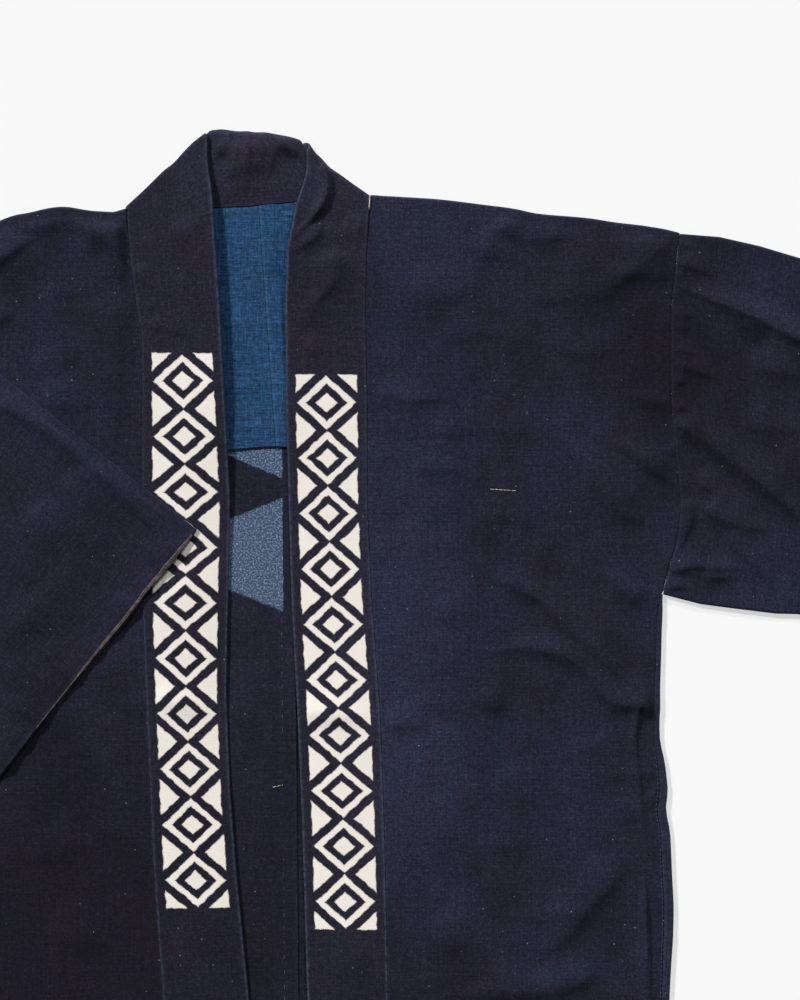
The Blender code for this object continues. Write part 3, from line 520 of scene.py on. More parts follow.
def curved(line):
    """A smooth line through a crease's points."""
    padded = np.concatenate([2 * line[:1] - line[1:2], line, 2 * line[-1:] - line[-2:-1]])
    share = np.arange(0, 1, 0.2)[:, None]
    parts = []
    for p, q, r, s in zip(padded, padded[1:], padded[2:], padded[3:]):
        swing = (2 * p - 5 * q + 4 * r - s) * share ** 2 + (3 * q - p - 3 * r + s) * share ** 3
        parts.append(q + ((r - p) * share + swing) / 2)
    return np.concatenate([*parts, line[-1:]])


def relief(x, y, creases):
    """How far a table of creases lifts the cloth at points in plan."""
    x, y = np.broadcast_arrays(x, y)
    rise = np.zeros(x.shape)
    for crease in creases:
        line = curved(crease.line)
        marks = travelled(line)
        whole = line[-1] - line[0]
        turned = whole[0] * FALLS_TOWARDS[1] - whole[1] * FALLS_TOWARDS[0]
        reach = 2.5 * GENTLE * crease.width
        low, high = line.min(axis=0) - reach, line.max(axis=0) + reach
        near = (x > low[0]) & (x < high[0]) & (y > low[1]) & (y < high[1])
        if not near.any():
            continue
        nearest = np.full(near.sum(), np.inf)
        steep, share = np.zeros(near.sum()), np.zeros(near.sum())
        for start, run, mark, length in zip(line, np.diff(line, axis=0), marks, np.diff(marks)):
            away = x[near] - start[0], y[near] - start[1]
            part = np.clip((away[0] * run[0] + away[1] * run[1]) / length ** 2, 0, 1)
            off = away[0] - part * run[0], away[1] - part * run[1]
            closer = np.hypot(*off) < nearest
            nearest = np.where(closer, np.hypot(*off), nearest)
            share = np.where(closer, (mark + part * length) / marks[-1], share)
            steep = np.where(closer, (run[0] * off[1] - run[1] * off[0]) * turned > 0, steep)
        at_seam = crease.start < FROM_SEAM
        start = max(crease.start, (1.9 if at_seam else 2.4) * crease.width / marks[-1])
        begun = np.minimum(share / start, 1) if at_seam else smooth(share / start)
        ends = begun * smooth((1 - share) / 0.6)
        width = crease.width * (0.2 + 0.8 * ends)
        soft = SOFTNESS * width
        fall = np.exp((soft - np.hypot(nearest, soft)) / width)
        gentle = np.exp(-(nearest / (GENTLE * width)) ** 2)
        rise[near] += crease.height * ends * np.where(steep > 0, fall, gentle)
    return rise


def uneven(x, y, size, seed):
    """Gentle unevenness between -1 and 1, in lumps of about the given size."""
    heights = np.random.default_rng(seed).uniform(-1, 1, (128, 128))
    across, down = x / size + 64, y / size + 64
    column, row = np.floor(across).astype(int), np.floor(down).astype(int)
    u, v = smooth(across - column), smooth(down - row)
    near, far = (
        mix(heights[beside % 128, column % 128], heights[beside % 128, (column + 1) % 128], u)
        for beside in (row, row + 1)
    )
    return mix(near, far, v)


def rumple(x, y):
    """The soft hand of old cotton that was laid down and smoothed once."""
    across, along = 0.8 * x + 0.6 * y, 0.8 * y - 0.6 * x
    (broad, high), (small, low), (fine, slight) = RUMPLES
    lumps = high * uneven(across, along, broad, 1) + low * uneven(across, along * 1.6, small, 2)
    return lumps + slight * uneven(x, y, fine, 3)


def front_height(x, y):
    """The top of the laid fronts and of the spread sleeve. It calms down by the sides and the
    shoulder folds."""
    from_edge = read(HALF_WIDTHS, "y", "half", y) - np.abs(x - back_seam_x(y))
    below_armpit = smooth((ARMPIT_Y - y) / 0.01)
    calm = 1 - CALM_BY_SIDE * below_armpit * (1 - smooth((from_edge - 0.005) / 0.010))
    from_fold = shoulder_line(x) - y
    calm = calm * (1 - CALM_BY_FOLD * (1 - smooth((from_fold - 0.002) / 0.012)))
    return FRONT_Z + (relief(x, y, LARGE_FOLDS + CREASES) + rumple(x, y)) * calm


def shoulder_line(x):
    """How high up the shoulder fold is, over the body and on along the spread sleeve."""
    line = SHOULDER_RIGHT[::-1] + SHOULDER_LEFT[:-1] + SLEEVE_TOP
    return np.interp(x, *np.array(line).T)


def back_seam_x(y):
    return BACK_SEAM_X + BACK_SEAM_SLANT * y


def neckline_y(x):
    return read(NECK_SECTIONS, "seam_x", "seam_y", x)


def spaced(length, cell, edges=(0.35, 0.8, 1.4, 2.2)):
    """Shares from 0 to 1 in cells of about one size, with finer ones by both ends."""
    even = np.linspace(0, 1, max(3, round(length / (cell * MM)) + 1))
    fine = np.array(edges) * MM / length
    inner = even[(even > 1.3 * fine[-1]) & (even < 1 - 1.3 * fine[-1])] if len(fine) else even[1:-1]
    return np.concatenate([[0], fine, inner, 1 - fine[::-1], [1]])


def graded(*stops):
    """Shares of a length in cells that change size on the way: pairs of how far, and the cell."""
    marks = [0.0]
    for reach, cell in stops:
        steps = max(1, round((reach - marks[-1]) / (cell * MM)))
        marks += list(np.linspace(marks[-1], reach, steps + 1)[1:])
    return np.array(marks) / marks[-1]


def half_turn(low, high, outward, steps):
    """Rows of points round the bend from one layer to the other, between their edges."""
    radius = np.linalg.norm(high - low, axis=-1, keepdims=True) / 2
    rows = []
    for step in range(1, steps):
        angle = math.pi * step / steps
        rows.append(mix(low, high, (1 - math.cos(angle)) / 2) + outward * radius * math.sin(angle))
    return np.stack(rows)


def roll(distance):
    """How far a sewn or folded edge rolls down, by the distance in from it."""
    return SIDE_DROP * (1 - smooth(distance / SIDE_ROLL))


def edge_wear(distance, reach=1.6 * MM):
    """How rubbed an edge is, by the distance in from it."""
    return np.exp(-(distance / reach) ** 2)


def lower_down(y):
    """The collar's seams are rubbed more the further down the front they are."""
    return smooth((-0.12 - y) / 0.30)


# ---------------------------------------------------------------- the two sides
class Side:
    """One half of the coat, with the values that differ from left to right."""

    def __init__(self, name, sign, shoulder, band, shear):
        self.name = name
        self.sign = sign
        self.shoulder = shoulder
        self.band = band
        self.shear = shear
        self.neck_y = shoulder[0].y
        self.armhole_y = shoulder[-1].y
        self.armpit_y = self.ends(ARMHOLE_SHARE)[1]

    def seam_x(self, y):
        return read(self.band, "y", "seam", y)

    def free_x(self, y):
        return read(self.band, "y", "free", y)

    def edge_x(self, y, inset=0.0):
        return back_seam_x(y) + self.sign * (read(HALF_WIDTHS, "y", "half", y) - inset)

    def wrap(self, y):
        return read(HALF_WIDTHS, "y", "wrap", y)

    def shoulder_y(self, x):
        return read(self.shoulder, "x", "y", x)

    def ends(self, share, hem=HEM_Y):
        """How high up a row of the body meets the collar, and how high it meets the side."""
        return tuple(mix(top - SHOULDER_INSET, hem, share) for top in (self.neck_y, self.armhole_y))


LEFT = Side("left", 1, SHOULDER_LEFT, BAND_LEFT, SHEAR_LEFT)
RIGHT = Side("right", -1, SHOULDER_RIGHT, BAND_RIGHT, SHEAR_RIGHT)


# ---------------------------------------------------------------- cloth
class Cloth:
    """Grids of points that share their edges, made into one piece of cloth.

    Each point has its place, its place on the flat cloth (the grain) and how worn it is."""

    def __init__(self, name):
        self.name = name
        self.points, self.grain, self.worn, self.faces = [], [], [], []
        self.count = 0

    def grid(self, points, grain, worn=0.0, turn=False):
        size = points.shape[:2]
        index = self.count + np.arange(size[0] * size[1]).reshape(size)
        corners = index[:-1, :-1], index[:-1, 1:], index[1:, 1:], index[1:, :-1]
        faces = stack(*(corner.ravel() for corner in corners))
        self.faces.append(faces[:, ::-1] if turn else faces)
        self.points.append(points.reshape(-1, 3))
        self.grain.append(np.broadcast_to(grain, (*size, 2)).reshape(-1, 2))
        self.worn.append(np.broadcast_to(worn, size).ravel())
        self.count += index.size

    def piece(self, wall, outer, reverse=None):
        """The cloth as an object. Its outer side is the one that the grids' normals point to."""
        mesh = bpy.data.meshes.new(self.name)
        points = np.concatenate(self.points) + np.array(SHIFT)
        mesh.from_pydata(points.tolist(), [], np.concatenate(self.faces).tolist())
        corner_points = np.empty(len(mesh.loops), int)
        mesh.loops.foreach_get("vertex_index", corner_points)
        grain = mesh.uv_layers.new(name="grain")
        grain.uv.foreach_set("vector", np.concatenate(self.grain)[corner_points].ravel())
        worn = mesh.attributes.new("worn", "FLOAT", "POINT")
        worn.data.foreach_set("value", np.concatenate(self.worn))
        merged = bmesh.new()
        merged.from_mesh(mesh)
        bmesh.ops.remove_doubles(merged, verts=merged.verts, dist=0.002 * MM)
        merged.to_mesh(mesh)
        merged.free()
        mesh.shade_smooth()
        mesh.materials.append(outer)
        mesh.materials.append(reverse or outer)
        piece = placed(self.name, mesh)
        thickness = piece.modifiers.new("Wall", "SOLIDIFY")
        thickness.thickness = wall
        thickness.offset = 0.0
        thickness.material_offset = 1
        return piece


# ---------------------------------------------------------------- body
def panel(side, share, across, inset, hem):
    """Points of the front or back in plan: across runs from the collar seam to the side edge."""
    seam_y, edge_y = side.ends(share, hem)
    start = side.seam_x(seam_y) + side.sign * SEAM_GAP
    x = mix(start, side.edge_x(edge_y, inset), across)
    bow = side.shoulder_y(x) - SHOULDER_INSET - mix(*side.ends(0.0), across)
    return x, mix(seam_y, edge_y, across) + bow * (1 - share) ** 5


def body_half(side, outer, reverse):
    """Front and back of one half, a single length of cloth folded at the shoulder."""
    cloth = Cloth("body_cloth_" + side.name)
    width = FRONT_WIDTH
    across = graded((0.0022, 0.6), (0.012, 2.0), (0.060, 2.9), (width - 0.021, FINE),
                    (width - 0.011, 0.85), (width - 0.0022, 1.8), (width, 0.6))
    rows = spaced(-HEM_Y, BACK_CELL, (1.4,))
    rows = np.sort(np.append(rows, (ARMHOLE_SHARE + 0.0005, ARMHOLE_SHARE + 0.004)))[:, None]
    front, grain = lay_front(cloth, side, across)
    back = lay_back(cloth, side, across, rows)

    # the bend over the shoulder
    bend = np.stack([back, *half_turn(back, front, np.array((0, 1, 0)), BEND_STEPS), front])
    turn_grain = grain + np.linspace(-1, 0, len(bend))[:, None, None] * np.array((0, 5 * MM))
    worn = 0.5 * np.sin(np.linspace(0, math.pi, len(bend)))[:, None] ** 2
    cloth.grid(bend, turn_grain, worn, side.sign > 0)

    lay_centre(cloth, side, rows)
    lay_side(cloth, side, rows)
    return cloth.piece(WALL, outer, reverse)


def lay_front(cloth, side, across):
    """The front, with its hem. Gives the points and the grain of its row at the shoulder."""
    share = graded((0.0014, 1.4), (0.42, FINE), (0.60, 3.0), (-HEM_Y - 0.022, 6.0),
                   (-HEM_Y - 0.0022, 2.5), (-HEM_Y, 0.7))[:, None]
    edge_y = side.ends(share, FRONT_HEM_Y)[1]
    below = edge_y < side.armpit_y
    inset = np.where(below, side.wrap(edge_y), 0.0) + SEAM_GAP / 2
    x, y = panel(side, share, across, inset, FRONT_HEM_Y)
    from_side, from_collar = (1 - across) * FRONT_WIDTH, across * FRONT_WIDTH
    z = mix(COLLAR_Z, front_height(x, y) - roll(from_side), smooth(from_collar / FRONT_EASE))
    from_hem = y - FRONT_HEM_Y
    z = z + HEM_STEP * smooth((HEM_DEPTH - from_hem) / (2 * MM) + 0.5) - roll(from_hem)
    worn = np.where(below, 0.30, 0.16) * edge_wear(from_side, 1.0 * MM) + 0.35 * edge_wear(from_hem)
    worn = np.maximum(worn, 0.40 * lower_down(y) * edge_wear(from_collar, 0.6 * MM))
    points, grain = stack(x, y, z), stack(side.sign * (x - back_seam_x(y)), -y)
    cloth.grid(points, grain, worn, side.sign > 0)
    return points[0], grain[:1]


def lay_back(cloth, side, across, rows):
    """The back, flat on the surface. Gives the points of its row at the shoulder."""
    edge_y = side.ends(rows)[1]
    inset = np.where(edge_y < side.armpit_y, SHOULDER_INSET, SEAM_GAP / 2)
    x, y = panel(side, rows, across, inset, HEM_Y)
    points = stack(x, y, BACK_Z)
    cloth.grid(points, back_grain(side, x, y), 0, side.sign < 0)
    return points[0]


def back_grain(side, x, y):
    return stack(side.sign * (x - back_seam_x(y)), y - 2 * side.neck_y)


def lay_centre(cloth, side, rows):
    """The back's strip by the centre seam, seen between the collar bands. The right half's seam
    allowance lies over the left half."""
    past = BACK_ALLOWANCE if side.sign < 0 else -SEAM_GAP / 2
    strip = graded((0.0006, 0.6), (0.0075, 2.3), (0.0115, 0.5), (0.066, 2.2))
    seam_y = side.ends(rows)[0]
    x = mix(back_seam_x(seam_y) - side.sign * past, side.seam_x(seam_y) + side.sign * SEAM_GAP, strip)
    y = seam_y + (neckline_y(x) - SEAM_GAP - side.ends(0.0)[0]) * (1 - rows) ** 12
    from_seam = side.sign * (x - back_seam_x(seam_y))
    over = BACK_PRESSED + BACK_LOOSER * smooth((LINING_HEM_Y - y) / (9 * MM))
    over = over * smooth(0.3 - from_seam / (1 * MM)) * (side.sign < 0)
    z = BACK_Z + relief(x, y, BACK_FOLDS) + over + 0.12 * rumple(x, y) * (1 - strip)
    z = mix(z, BACK_Z, smooth((strip - 0.8) / 0.2))
    cloth.grid(stack(x, y, z), back_grain(side, x, y), 0.10 * edge_wear(from_seam + past), side.sign < 0)


def lay_side(cloth, side, rows):
    """The back's side edge, turned up and in to the side seam."""
    edge_y = side.ends(rows)[1]
    edge_y = edge_y[edge_y < side.armpit_y]
    seam_x = side.edge_x(edge_y, side.wrap(edge_y) - SEAM_GAP / 2)
    start_x = side.edge_x(edge_y, SHOULDER_INSET)
    top_z = front_height(seam_x, edge_y)
    low, high = stack(start_x, edge_y, BACK_Z), stack(start_x, edge_y, top_z)
    curl = [low, *half_turn(low, high, np.array((side.sign, 0, 0)), BEND_STEPS), high]
    for part in (0.5, 0.8, 1.0):
        curl.append(stack(mix(start_x, seam_x, part), edge_y, top_z - roll((1 - part) * 3 * MM)))
    grain = stack(0.29 + np.linspace(0, 1, len(curl)) * 12 * MM, edge_y[:, None])
    worn = np.array([0] * 4 + [0.2, 0.35, 0.45, 0.35, 0.2] + [0.1, 0.2, 0.5])
    cloth.grid(np.stack(curl, axis=1), grain, worn, side.sign < 0)


# ---------------------------------------------------------------- shoulder lining
def lining_half(side, outer):
    """The pale lining of one shoulder, on the inside of the back, as far as its hem."""
    cloth = Cloth("lining_cloth_" + side.name)
    neck = side.shoulder[0].x - side.sign * LINING_MARGIN
    down = spaced(0.18, FINE, (1.0, 2.0))[:, None]
    rough_y = LINING_HEM_Y * down
    inner = LINING_SEAM_X + LINING_SEAM_SLANT * rough_y + side.sign * SEAM_GAP / 8
    near = spaced(0.09, 1.5, (0.4, 0.9, 1.5))
    far = spaced(0.2, COARSE, ())[1:]
    outer_x = side.edge_x(np.minimum(rough_y, side.armhole_y), LINING_MARGIN)
    x = np.concatenate([mix(inner, neck, near), mix(neck, outer_x, far)], axis=1)
    over_neck = neckline_y(x[:, :len(near)]) + LINING_TUCK
    over_shoulder = side.shoulder_y(x[:, len(near):]) - 2 * SHOULDER_INSET
    hem_y = LINING_HEM_Y + LINING_HEM_LIFT * np.exp(-((x - inner) / 0.03) ** 2)
    y = mix(np.concatenate([over_neck, over_shoulder], axis=1), hem_y, down)
    from_seam = side.sign * (x - inner)
    from_hem = y - hem_y
    over = side.sign > 0
    pressed = LINING_PRESSED * smooth((LINING_ALLOWANCE - from_seam) / (1.8 * MM)) * over
    hem = HEM_STEP * smooth((LINING_HEM - from_hem) / (1.6 * MM))
    soft = 0.35 * rumple(x, y) + relief(x, y, LINING_FOLDS)
    z = LINING_Z + pressed + hem + soft * smooth(from_hem / (20 * MM))
    z = z - 0.35 * roll(from_seam) - 0.35 * roll(from_hem)
    z = mix(NECK_Z, z, smooth((neckline_y(x) + LINING_TUCK - y) / (5 * MM)))
    worn = np.maximum(0.12 * edge_wear(from_seam), 0.25 * edge_wear(from_hem, 1.0 * MM))
    worn = np.maximum(worn, 0.16 * edge_wear(from_seam - 1.2 * MM, 0.9 * MM) * over)
    cloth.grid(stack(x, y, z), stack(x, y), worn, over)
    return cloth.piece(LINING_WALL, outer)


# ---------------------------------------------------------------- collar
def front_sections(side):
    """Sections of the collar down one front, from the shoulder: seam points and free points."""
    share = graded((0.0030, 0.6), (0.10, 1.1), (0.17, 2.0), (0.60, 6.0), (-HEM_Y - 0.003, 8.0), (-HEM_Y, 0.7))
    top_y = side.ends(0.0)[0]
    seam_y = side.ends(share, FRONT_HEM_Y)[0]
    past = np.minimum(1.0, (top_y - seam_y) / side.shear.over)
    free_y = seam_y + (side.shear.fold_y - top_y) * (1 - past) ** 2
    free_x = mix(side.shear.fold_x, side.free_x(free_y), smooth((top_y - seam_y) / (12 * MM)))
    seam_z = mix(NECK_FOLD_Z, COLLAR_Z, smooth(past))
    seam = stack(side.seam_x(seam_y), seam_y, seam_z)
    sunk = smooth((-free_y - SAG_FROM) / SAG_OVER)
    free = stack(free_x, free_y, mix(seam_z + side.shear.lift * smooth(1.7 * past), SAGGED_Z, sunk))
    spare = NECK_TRIM * (1 - past) ** 4
    pull = (spare / np.linalg.norm(free - seam, axis=1))[:, None]
    return mix(seam, free, pull), free


def neck_sections():
    """Sections of the back of the collar, from the wearer's right shoulder to the left."""
    first, last = NECK_SECTIONS[0], NECK_SECTIONS[-1]
    length = last.seam_x - first.seam_x
    seam_x = mix(first.seam_x, last.seam_x, spaced(length, 1.3, (0.5, 1.0)))
    columns = {name: read(NECK_SECTIONS, "seam_x", name, seam_x) for name in ("seam_y", "free_x", "free_y")}
    for row in (first, last):       # the rounding leaves the two end sections as they are
        from_end = np.abs(seam_x - row.seam_x)
        near = from_end < ROUNDING
        for name, values in columns.items():
            values[near] = mix(getattr(row, name), values[near], smooth(from_end[near] / ROUNDING))
    return stack(seam_x, columns["seam_y"], NECK_Z), stack(columns["free_x"], columns["free_y"], NECK_Z)


def shoulder_bend(lower, upper, sign):
    """Sections round the collar's fold at one shoulder, between its lower and upper layers."""
    run = (upper[1] - upper[0])[:2]
    outward = unit(np.array((run[1] * sign, -run[0] * sign, 0)))
    return [half_turn(low, high, outward, BEND_STEPS) for low, high in zip(lower, upper)]


def collar(outer):
    """One band: up the right front, folded at the shoulder, round the neck and down the left."""
    right, left, neck = front_sections(RIGHT), front_sections(LEFT), neck_sections()
    right_bend = shoulder_bend([edge[0] for edge in neck], [edge[0] for edge in right], -1)
    left_bend = shoulder_bend([edge[-1] for edge in neck], [edge[0] for edge in left], 1)
    seam, free = (
        np.concatenate([right[e][::-1], right_bend[e][::-1], neck[e], left_bend[e], left[e]])
        for e in range(2)
    )
    right_end, left_end, turn = len(right[0]), -len(left[0]), len(left_bend[0])
    marks = travelled((seam + free) / 2)

    # the middle of the band, and which way each place on it faces
    across = spaced(BAND_WIDTH, 1.2, (0.5, 1.0))
    margin = COLLAR_HALF / BAND_WIDTH
    middle = mix(seam[:, None], free[:, None], mix(margin, 1 - margin, across)[:, None])
    middle[..., 2] = mix(seam[:, None, 2], free[:, None, 2], across ** 2)
    for dips, first, last in (
        (DIP_RIGHT, right_end, right_end + turn),
        (DIP_LEFT, left_end - turn, left_end),
    ):
        away = np.maximum(0, np.maximum(marks[first] - marks, marks - marks[last]))
        dip = read(dips, "across", "down", across * BAND_WIDTH, DIP_ROUNDING)
        middle[..., 1] -= dip * (1 - smooth(away / DIP_REACH))[:, None]
    normal = unit(np.cross(np.gradient(middle, axis=1), np.gradient(middle, axis=0)))
    beyond = unit(middle[:, -1] - middle[:, 0])

    # round the section: the outer layer, the free fold, the inner layer and the sewn fold
    turns = np.linspace(0, math.pi, 6)[1:-1]
    facing = [(column, 1.0, 0.0) for column in range(len(across))]
    facing += [(-1, math.cos(angle), math.sin(angle)) for angle in turns]
    facing += [(column, -1.0, 0.0) for column in [*range(len(across) - 1, 4, -4), 3, 2, 1, 0]]
    facing += [(0, -math.cos(angle), -math.sin(angle)) for angle in turns]
    column, height, out = (np.array(values) for values in zip(*facing, facing[0]))
    shares = across[column]
    points = middle[:, column] + COLLAR_HALF * (
        normal[:, column] * height[:, None] + beyond[:, None] * out[:, None]
    )
    crown = COLLAR_CROWN * np.sin(math.pi * np.clip(shares, 0.02, 0.98)) ** 0.5
    soft = 0.5 * rumple(points[..., 0] * 1.3, points[..., 1] * 1.3 + 0.4) * np.sin(math.pi * shares)
    creases = relief(points[..., 0], points[..., 1], COLLAR_CREASES)
    points[..., 2] += np.clip(normal[:, column, 2] * height, 0, 1) ** 2 * (crown + soft + creases)

    along = marks - marks[right_end + turn:left_end - turn].mean()
    girth = travelled(stack(shares * BAND_WIDTH, height * COLLAR_HALF))
    rubbed = (0.25 + 0.40 * lower_down(seam[:, 1])) * np.where(seam[:, 0] > 0, 1.0, 0.5)
    rubbed = np.where(shares < 0.5, rubbed[:, None], 0.60)
    worn = rubbed * edge_wear(np.minimum(shares, 1 - shares) * BAND_WIDTH, 0.75 * MM)
    cloth = Cloth("collar_band")
    cloth.grid(points, stack(girth - BAND_WIDTH / 2, along[:, None]), worn, True)
    return cloth.piece(WALL, outer)


# ---------------------------------------------------------------- sleeves
def tube(depth, half, cell, under_cell):
    """A flattened tube in section: distances from its shoulder edge, and heights off its middle
    as shares of half the space between its layers. The first point comes again as the last."""
    upper, lower = (
        mix(half, depth - half, spaced(ARMHOLE_DEPTH, size, ())) for size in (cell, under_cell)
    )
    turns = math.pi * np.arange(1, BEND_STEPS) / BEND_STEPS
    bulge = half * np.sin(turns)
    down = np.concatenate([lower, depth - half + bulge, upper[::-1], half - bulge, lower[:1]])
    level = np.concatenate([0 * lower - 1, -np.cos(turns), 0 * upper + 1, np.cos(turns), [-1.0]])
    return down, level


def sleeve_grain(down, level, along):
    """The tube opened out: its upper and lower layers lie to either side of its shoulder edge."""
    return stack(down * np.sign(level + 0.01), along)


def spread_sleeve(outer, reverse):
    """The wearer's left sleeve: a tube lying flat, its lower layer on the surface."""
    cloth = Cloth("sleeve_cloth_left")
    stations = graded((0.0022, 0.6), (0.065, 1.25), (0.12, 1.8), (SLEEVE_LENGTH - 0.0022, 4.5),
                      (SLEEVE_LENGTH, 0.6))
    rows, grains = [], []
    for share in stations:
        top, bottom = walk(SLEEVE_TOP, share), walk(SLEEVE_BOTTOM, share)
        depth = math.hypot(*(bottom - top)) - WALL
        down, level = tube(depth, LAYERS_HALF, 1.35, COARSE)
        x, y = mix(top, bottom, ((down + WALL / 2) / (depth + WALL))[:, None]).T
        x = x + armhole_bulge(y, share)
        upper = front_height(x, y) - roll(share * SLEEVE_LENGTH) - roll((1 - share) * SLEEVE_LENGTH)
        rows.append(stack(x, y, mix(BACK_Z, upper, (level + 1) / 2)))
        grains.append(sleeve_grain(down, level, share * SLEEVE_LENGTH))
    worn = 0.1 * edge_wear(stations * SLEEVE_LENGTH)
    worn = np.maximum(worn, 0.4 * edge_wear((1 - stations) * SLEEVE_LENGTH))[:, None]
    cloth.grid(np.stack(rows), np.stack(grains), np.maximum(worn, 0.45 * (1 - np.abs(level))), True)
    return cloth.piece(WALL, outer, reverse)


def armhole_bulge(y, share):
    """How far the armhole seam stands from a straight line, fading out along the sleeve."""
    start, finish = SLEEVE_TOP[0], SLEEVE_BOTTOM[0]
    straight = mix(start.x, finish.x, (y - start.y) / (finish.y - start.y))
    return (LEFT.edge_x(y, -SEAM_GAP / 2) - straight) * (1 - smooth(share * 2.5))


def folded_tube(stations, shrink=0.0, cell=FINE, under_cell=FINE):
    """The wearer's right sleeve as a flat tube turned over on a slanting line, onto the front.

    Each station is where its line leaves the shoulder edge. shrink draws the tube in, for what
    lies inside the sleeve."""
    fold_start = FOLDED_TIP - FOLDED_AXIS * (SLEEVE_LENGTH - FOLD_FROM_SEAM) - OFF_FOLD * FOLD_ROUND
    seam_top = fold_start - UNFOLDED_AXIS * FOLD_FROM_SEAM
    down_way = np.array((-UNFOLDED_AXIS[1], UNFOLDED_AXIS[0]))
    lean = (FOLD_LINE @ UNFOLDED_AXIS) / (FOLD_LINE @ down_way)
    slant = lean * ARMHOLE_DEPTH
    middle = BACK_Z + LAYERS_HALF
    rows, grains = [], []
    for start in stations:
        # the section where the sleeve still lies as it was sewn on
        before = smooth(min(1.0, start / FOLD_FROM_SEAM))
        after = max(0.0, (start - FOLD_ENDS) / (SLEEVE_LENGTH - FOLD_ENDS))
        lag = mix(ARMHOLE_SLANT, slant, before) if start < FOLD_ENDS else mix(slant, 0.0, after ** 0.8)
        depth = mix(ARMHOLE_DEPTH, CUFF_DEPTH, start / SLEEVE_LENGTH) - WALL
        half = mix(LAYERS_HALF, FLAT_HALF, smooth((start - FOLD_ENDS * 0.6) / FLATTENS_OVER)) - shrink
        fall, level = tube(depth - 2 * shrink, half, cell, under_cell)
        fall = fall + shrink
        s = start + lag * fall / depth
        trim = read(CUFF_TRIM, "down", "by", fall) - read(CUFF_STEP, "down", "by", fall) * (level > 0)
        s = s - trim * np.abs(level) * smooth(1 - (SLEEVE_LENGTH - start) / TRIM_REACH)
        flat = seam_top + UNFOLDED_AXIS * s[:, None] + down_way * (fall + WALL / 2)[:, None]
        flat[:, 0] = mix(RIGHT.edge_x(flat[:, 1], -2 * SEAM_GAP), flat[:, 0], before)

        # what is past the fold line goes round the turn, and then back over the front
        beyond = (s - FOLD_FROM_SEAM - lean * (fall + WALL / 2)) * TO_FOLD
        over = beyond - FOLD_ROUND
        angle = np.clip(beyond / FOLD_RADIUS, 0, math.pi)
        radius = FOLD_RADIUS - level * half
        out = radius * np.sin(angle) - np.maximum(beyond, 0) - np.maximum(over, 0)
        x, y = (flat + OFF_FOLD * out[:, None]).T
        height = middle + FOLD_RADIUS - radius * np.cos(angle)

        # there it lies on the front and the collar
        on_collar = smooth((x - RIGHT.seam_x(y)) / COLLAR_REACH + 1)
        on_front = front_height(x, y) + OVER_FRONT
        rest = mix(on_front, np.maximum(on_front, ON_COLLAR_Z), on_collar)
        settled = mix(middle + 2 * FOLD_RADIUS, rest, smooth(over / SETTLE_REACH)) - level * half
        across = fall / depth
        gape = CUFF_GAPE * smooth(1 - (SLEEVE_LENGTH - s) / GAPE_REACH) * (level < 0)
        gape = gape * (0.15 + 0.85 * smooth((across - 0.68) / 0.15))
        gape = gape * smooth(across / 0.2) * smooth((1 - across) / 0.1)
        soft = relief(x, y, FOLDED_CREASES) + 0.4 * rumple(x + 0.5, y)
        eased = np.minimum(smooth(over / 0.02), smooth(np.minimum(fall, depth - fall) / 0.012))
        settled = settled + smooth(0.5 - 0.5 * level) * (gape + soft * eased)
        settled = settled - EDGE_SINKS * (1 - smooth(fall / SINK_REACH)) * smooth(over / 0.03)
        rows.append(stack(x, y, np.where(over > 0, settled, height)))
        grains.append(sleeve_grain(fall, level, s))
    return np.stack(rows), np.stack(grains), level


def folded_sleeve(outer, reverse):
    """The folded sleeve's cloth, close in cells round its turn and by its cuff."""
    cloth = Cloth("sleeve_cloth_right")
    first = np.linspace(0, FOLD_FROM_SEAM, 4)[:-1]
    bend = np.linspace(FOLD_FROM_SEAM, FOLD_ENDS, 13)[:-1]
    rest = mix(FOLD_ENDS, SLEEVE_LENGTH, spaced(SLEEVE_LENGTH - FOLD_ENDS, FINE, (0.5, 1.1, 1.8)))
    stations = np.concatenate([first, bend, rest])
    points, grain, level = folded_tube(stations, cell=COARSE)
    to_cuff = (SLEEVE_LENGTH - stations)[:, None]
    worn = np.maximum(0.5 * edge_wear(to_cuff), 0.28 * (1 - np.abs(level)))
    worn = np.maximum(worn, 0.03 * smooth((FADED_STRIP - np.abs(grain[..., 0])) / (3 * MM)))
    points[..., 2] -= 0.5 * roll(to_cuff) * np.clip(-level, 0, 1)
    cloth.grid(points, grain, worn)
    return cloth.piece(WALL, outer, reverse)


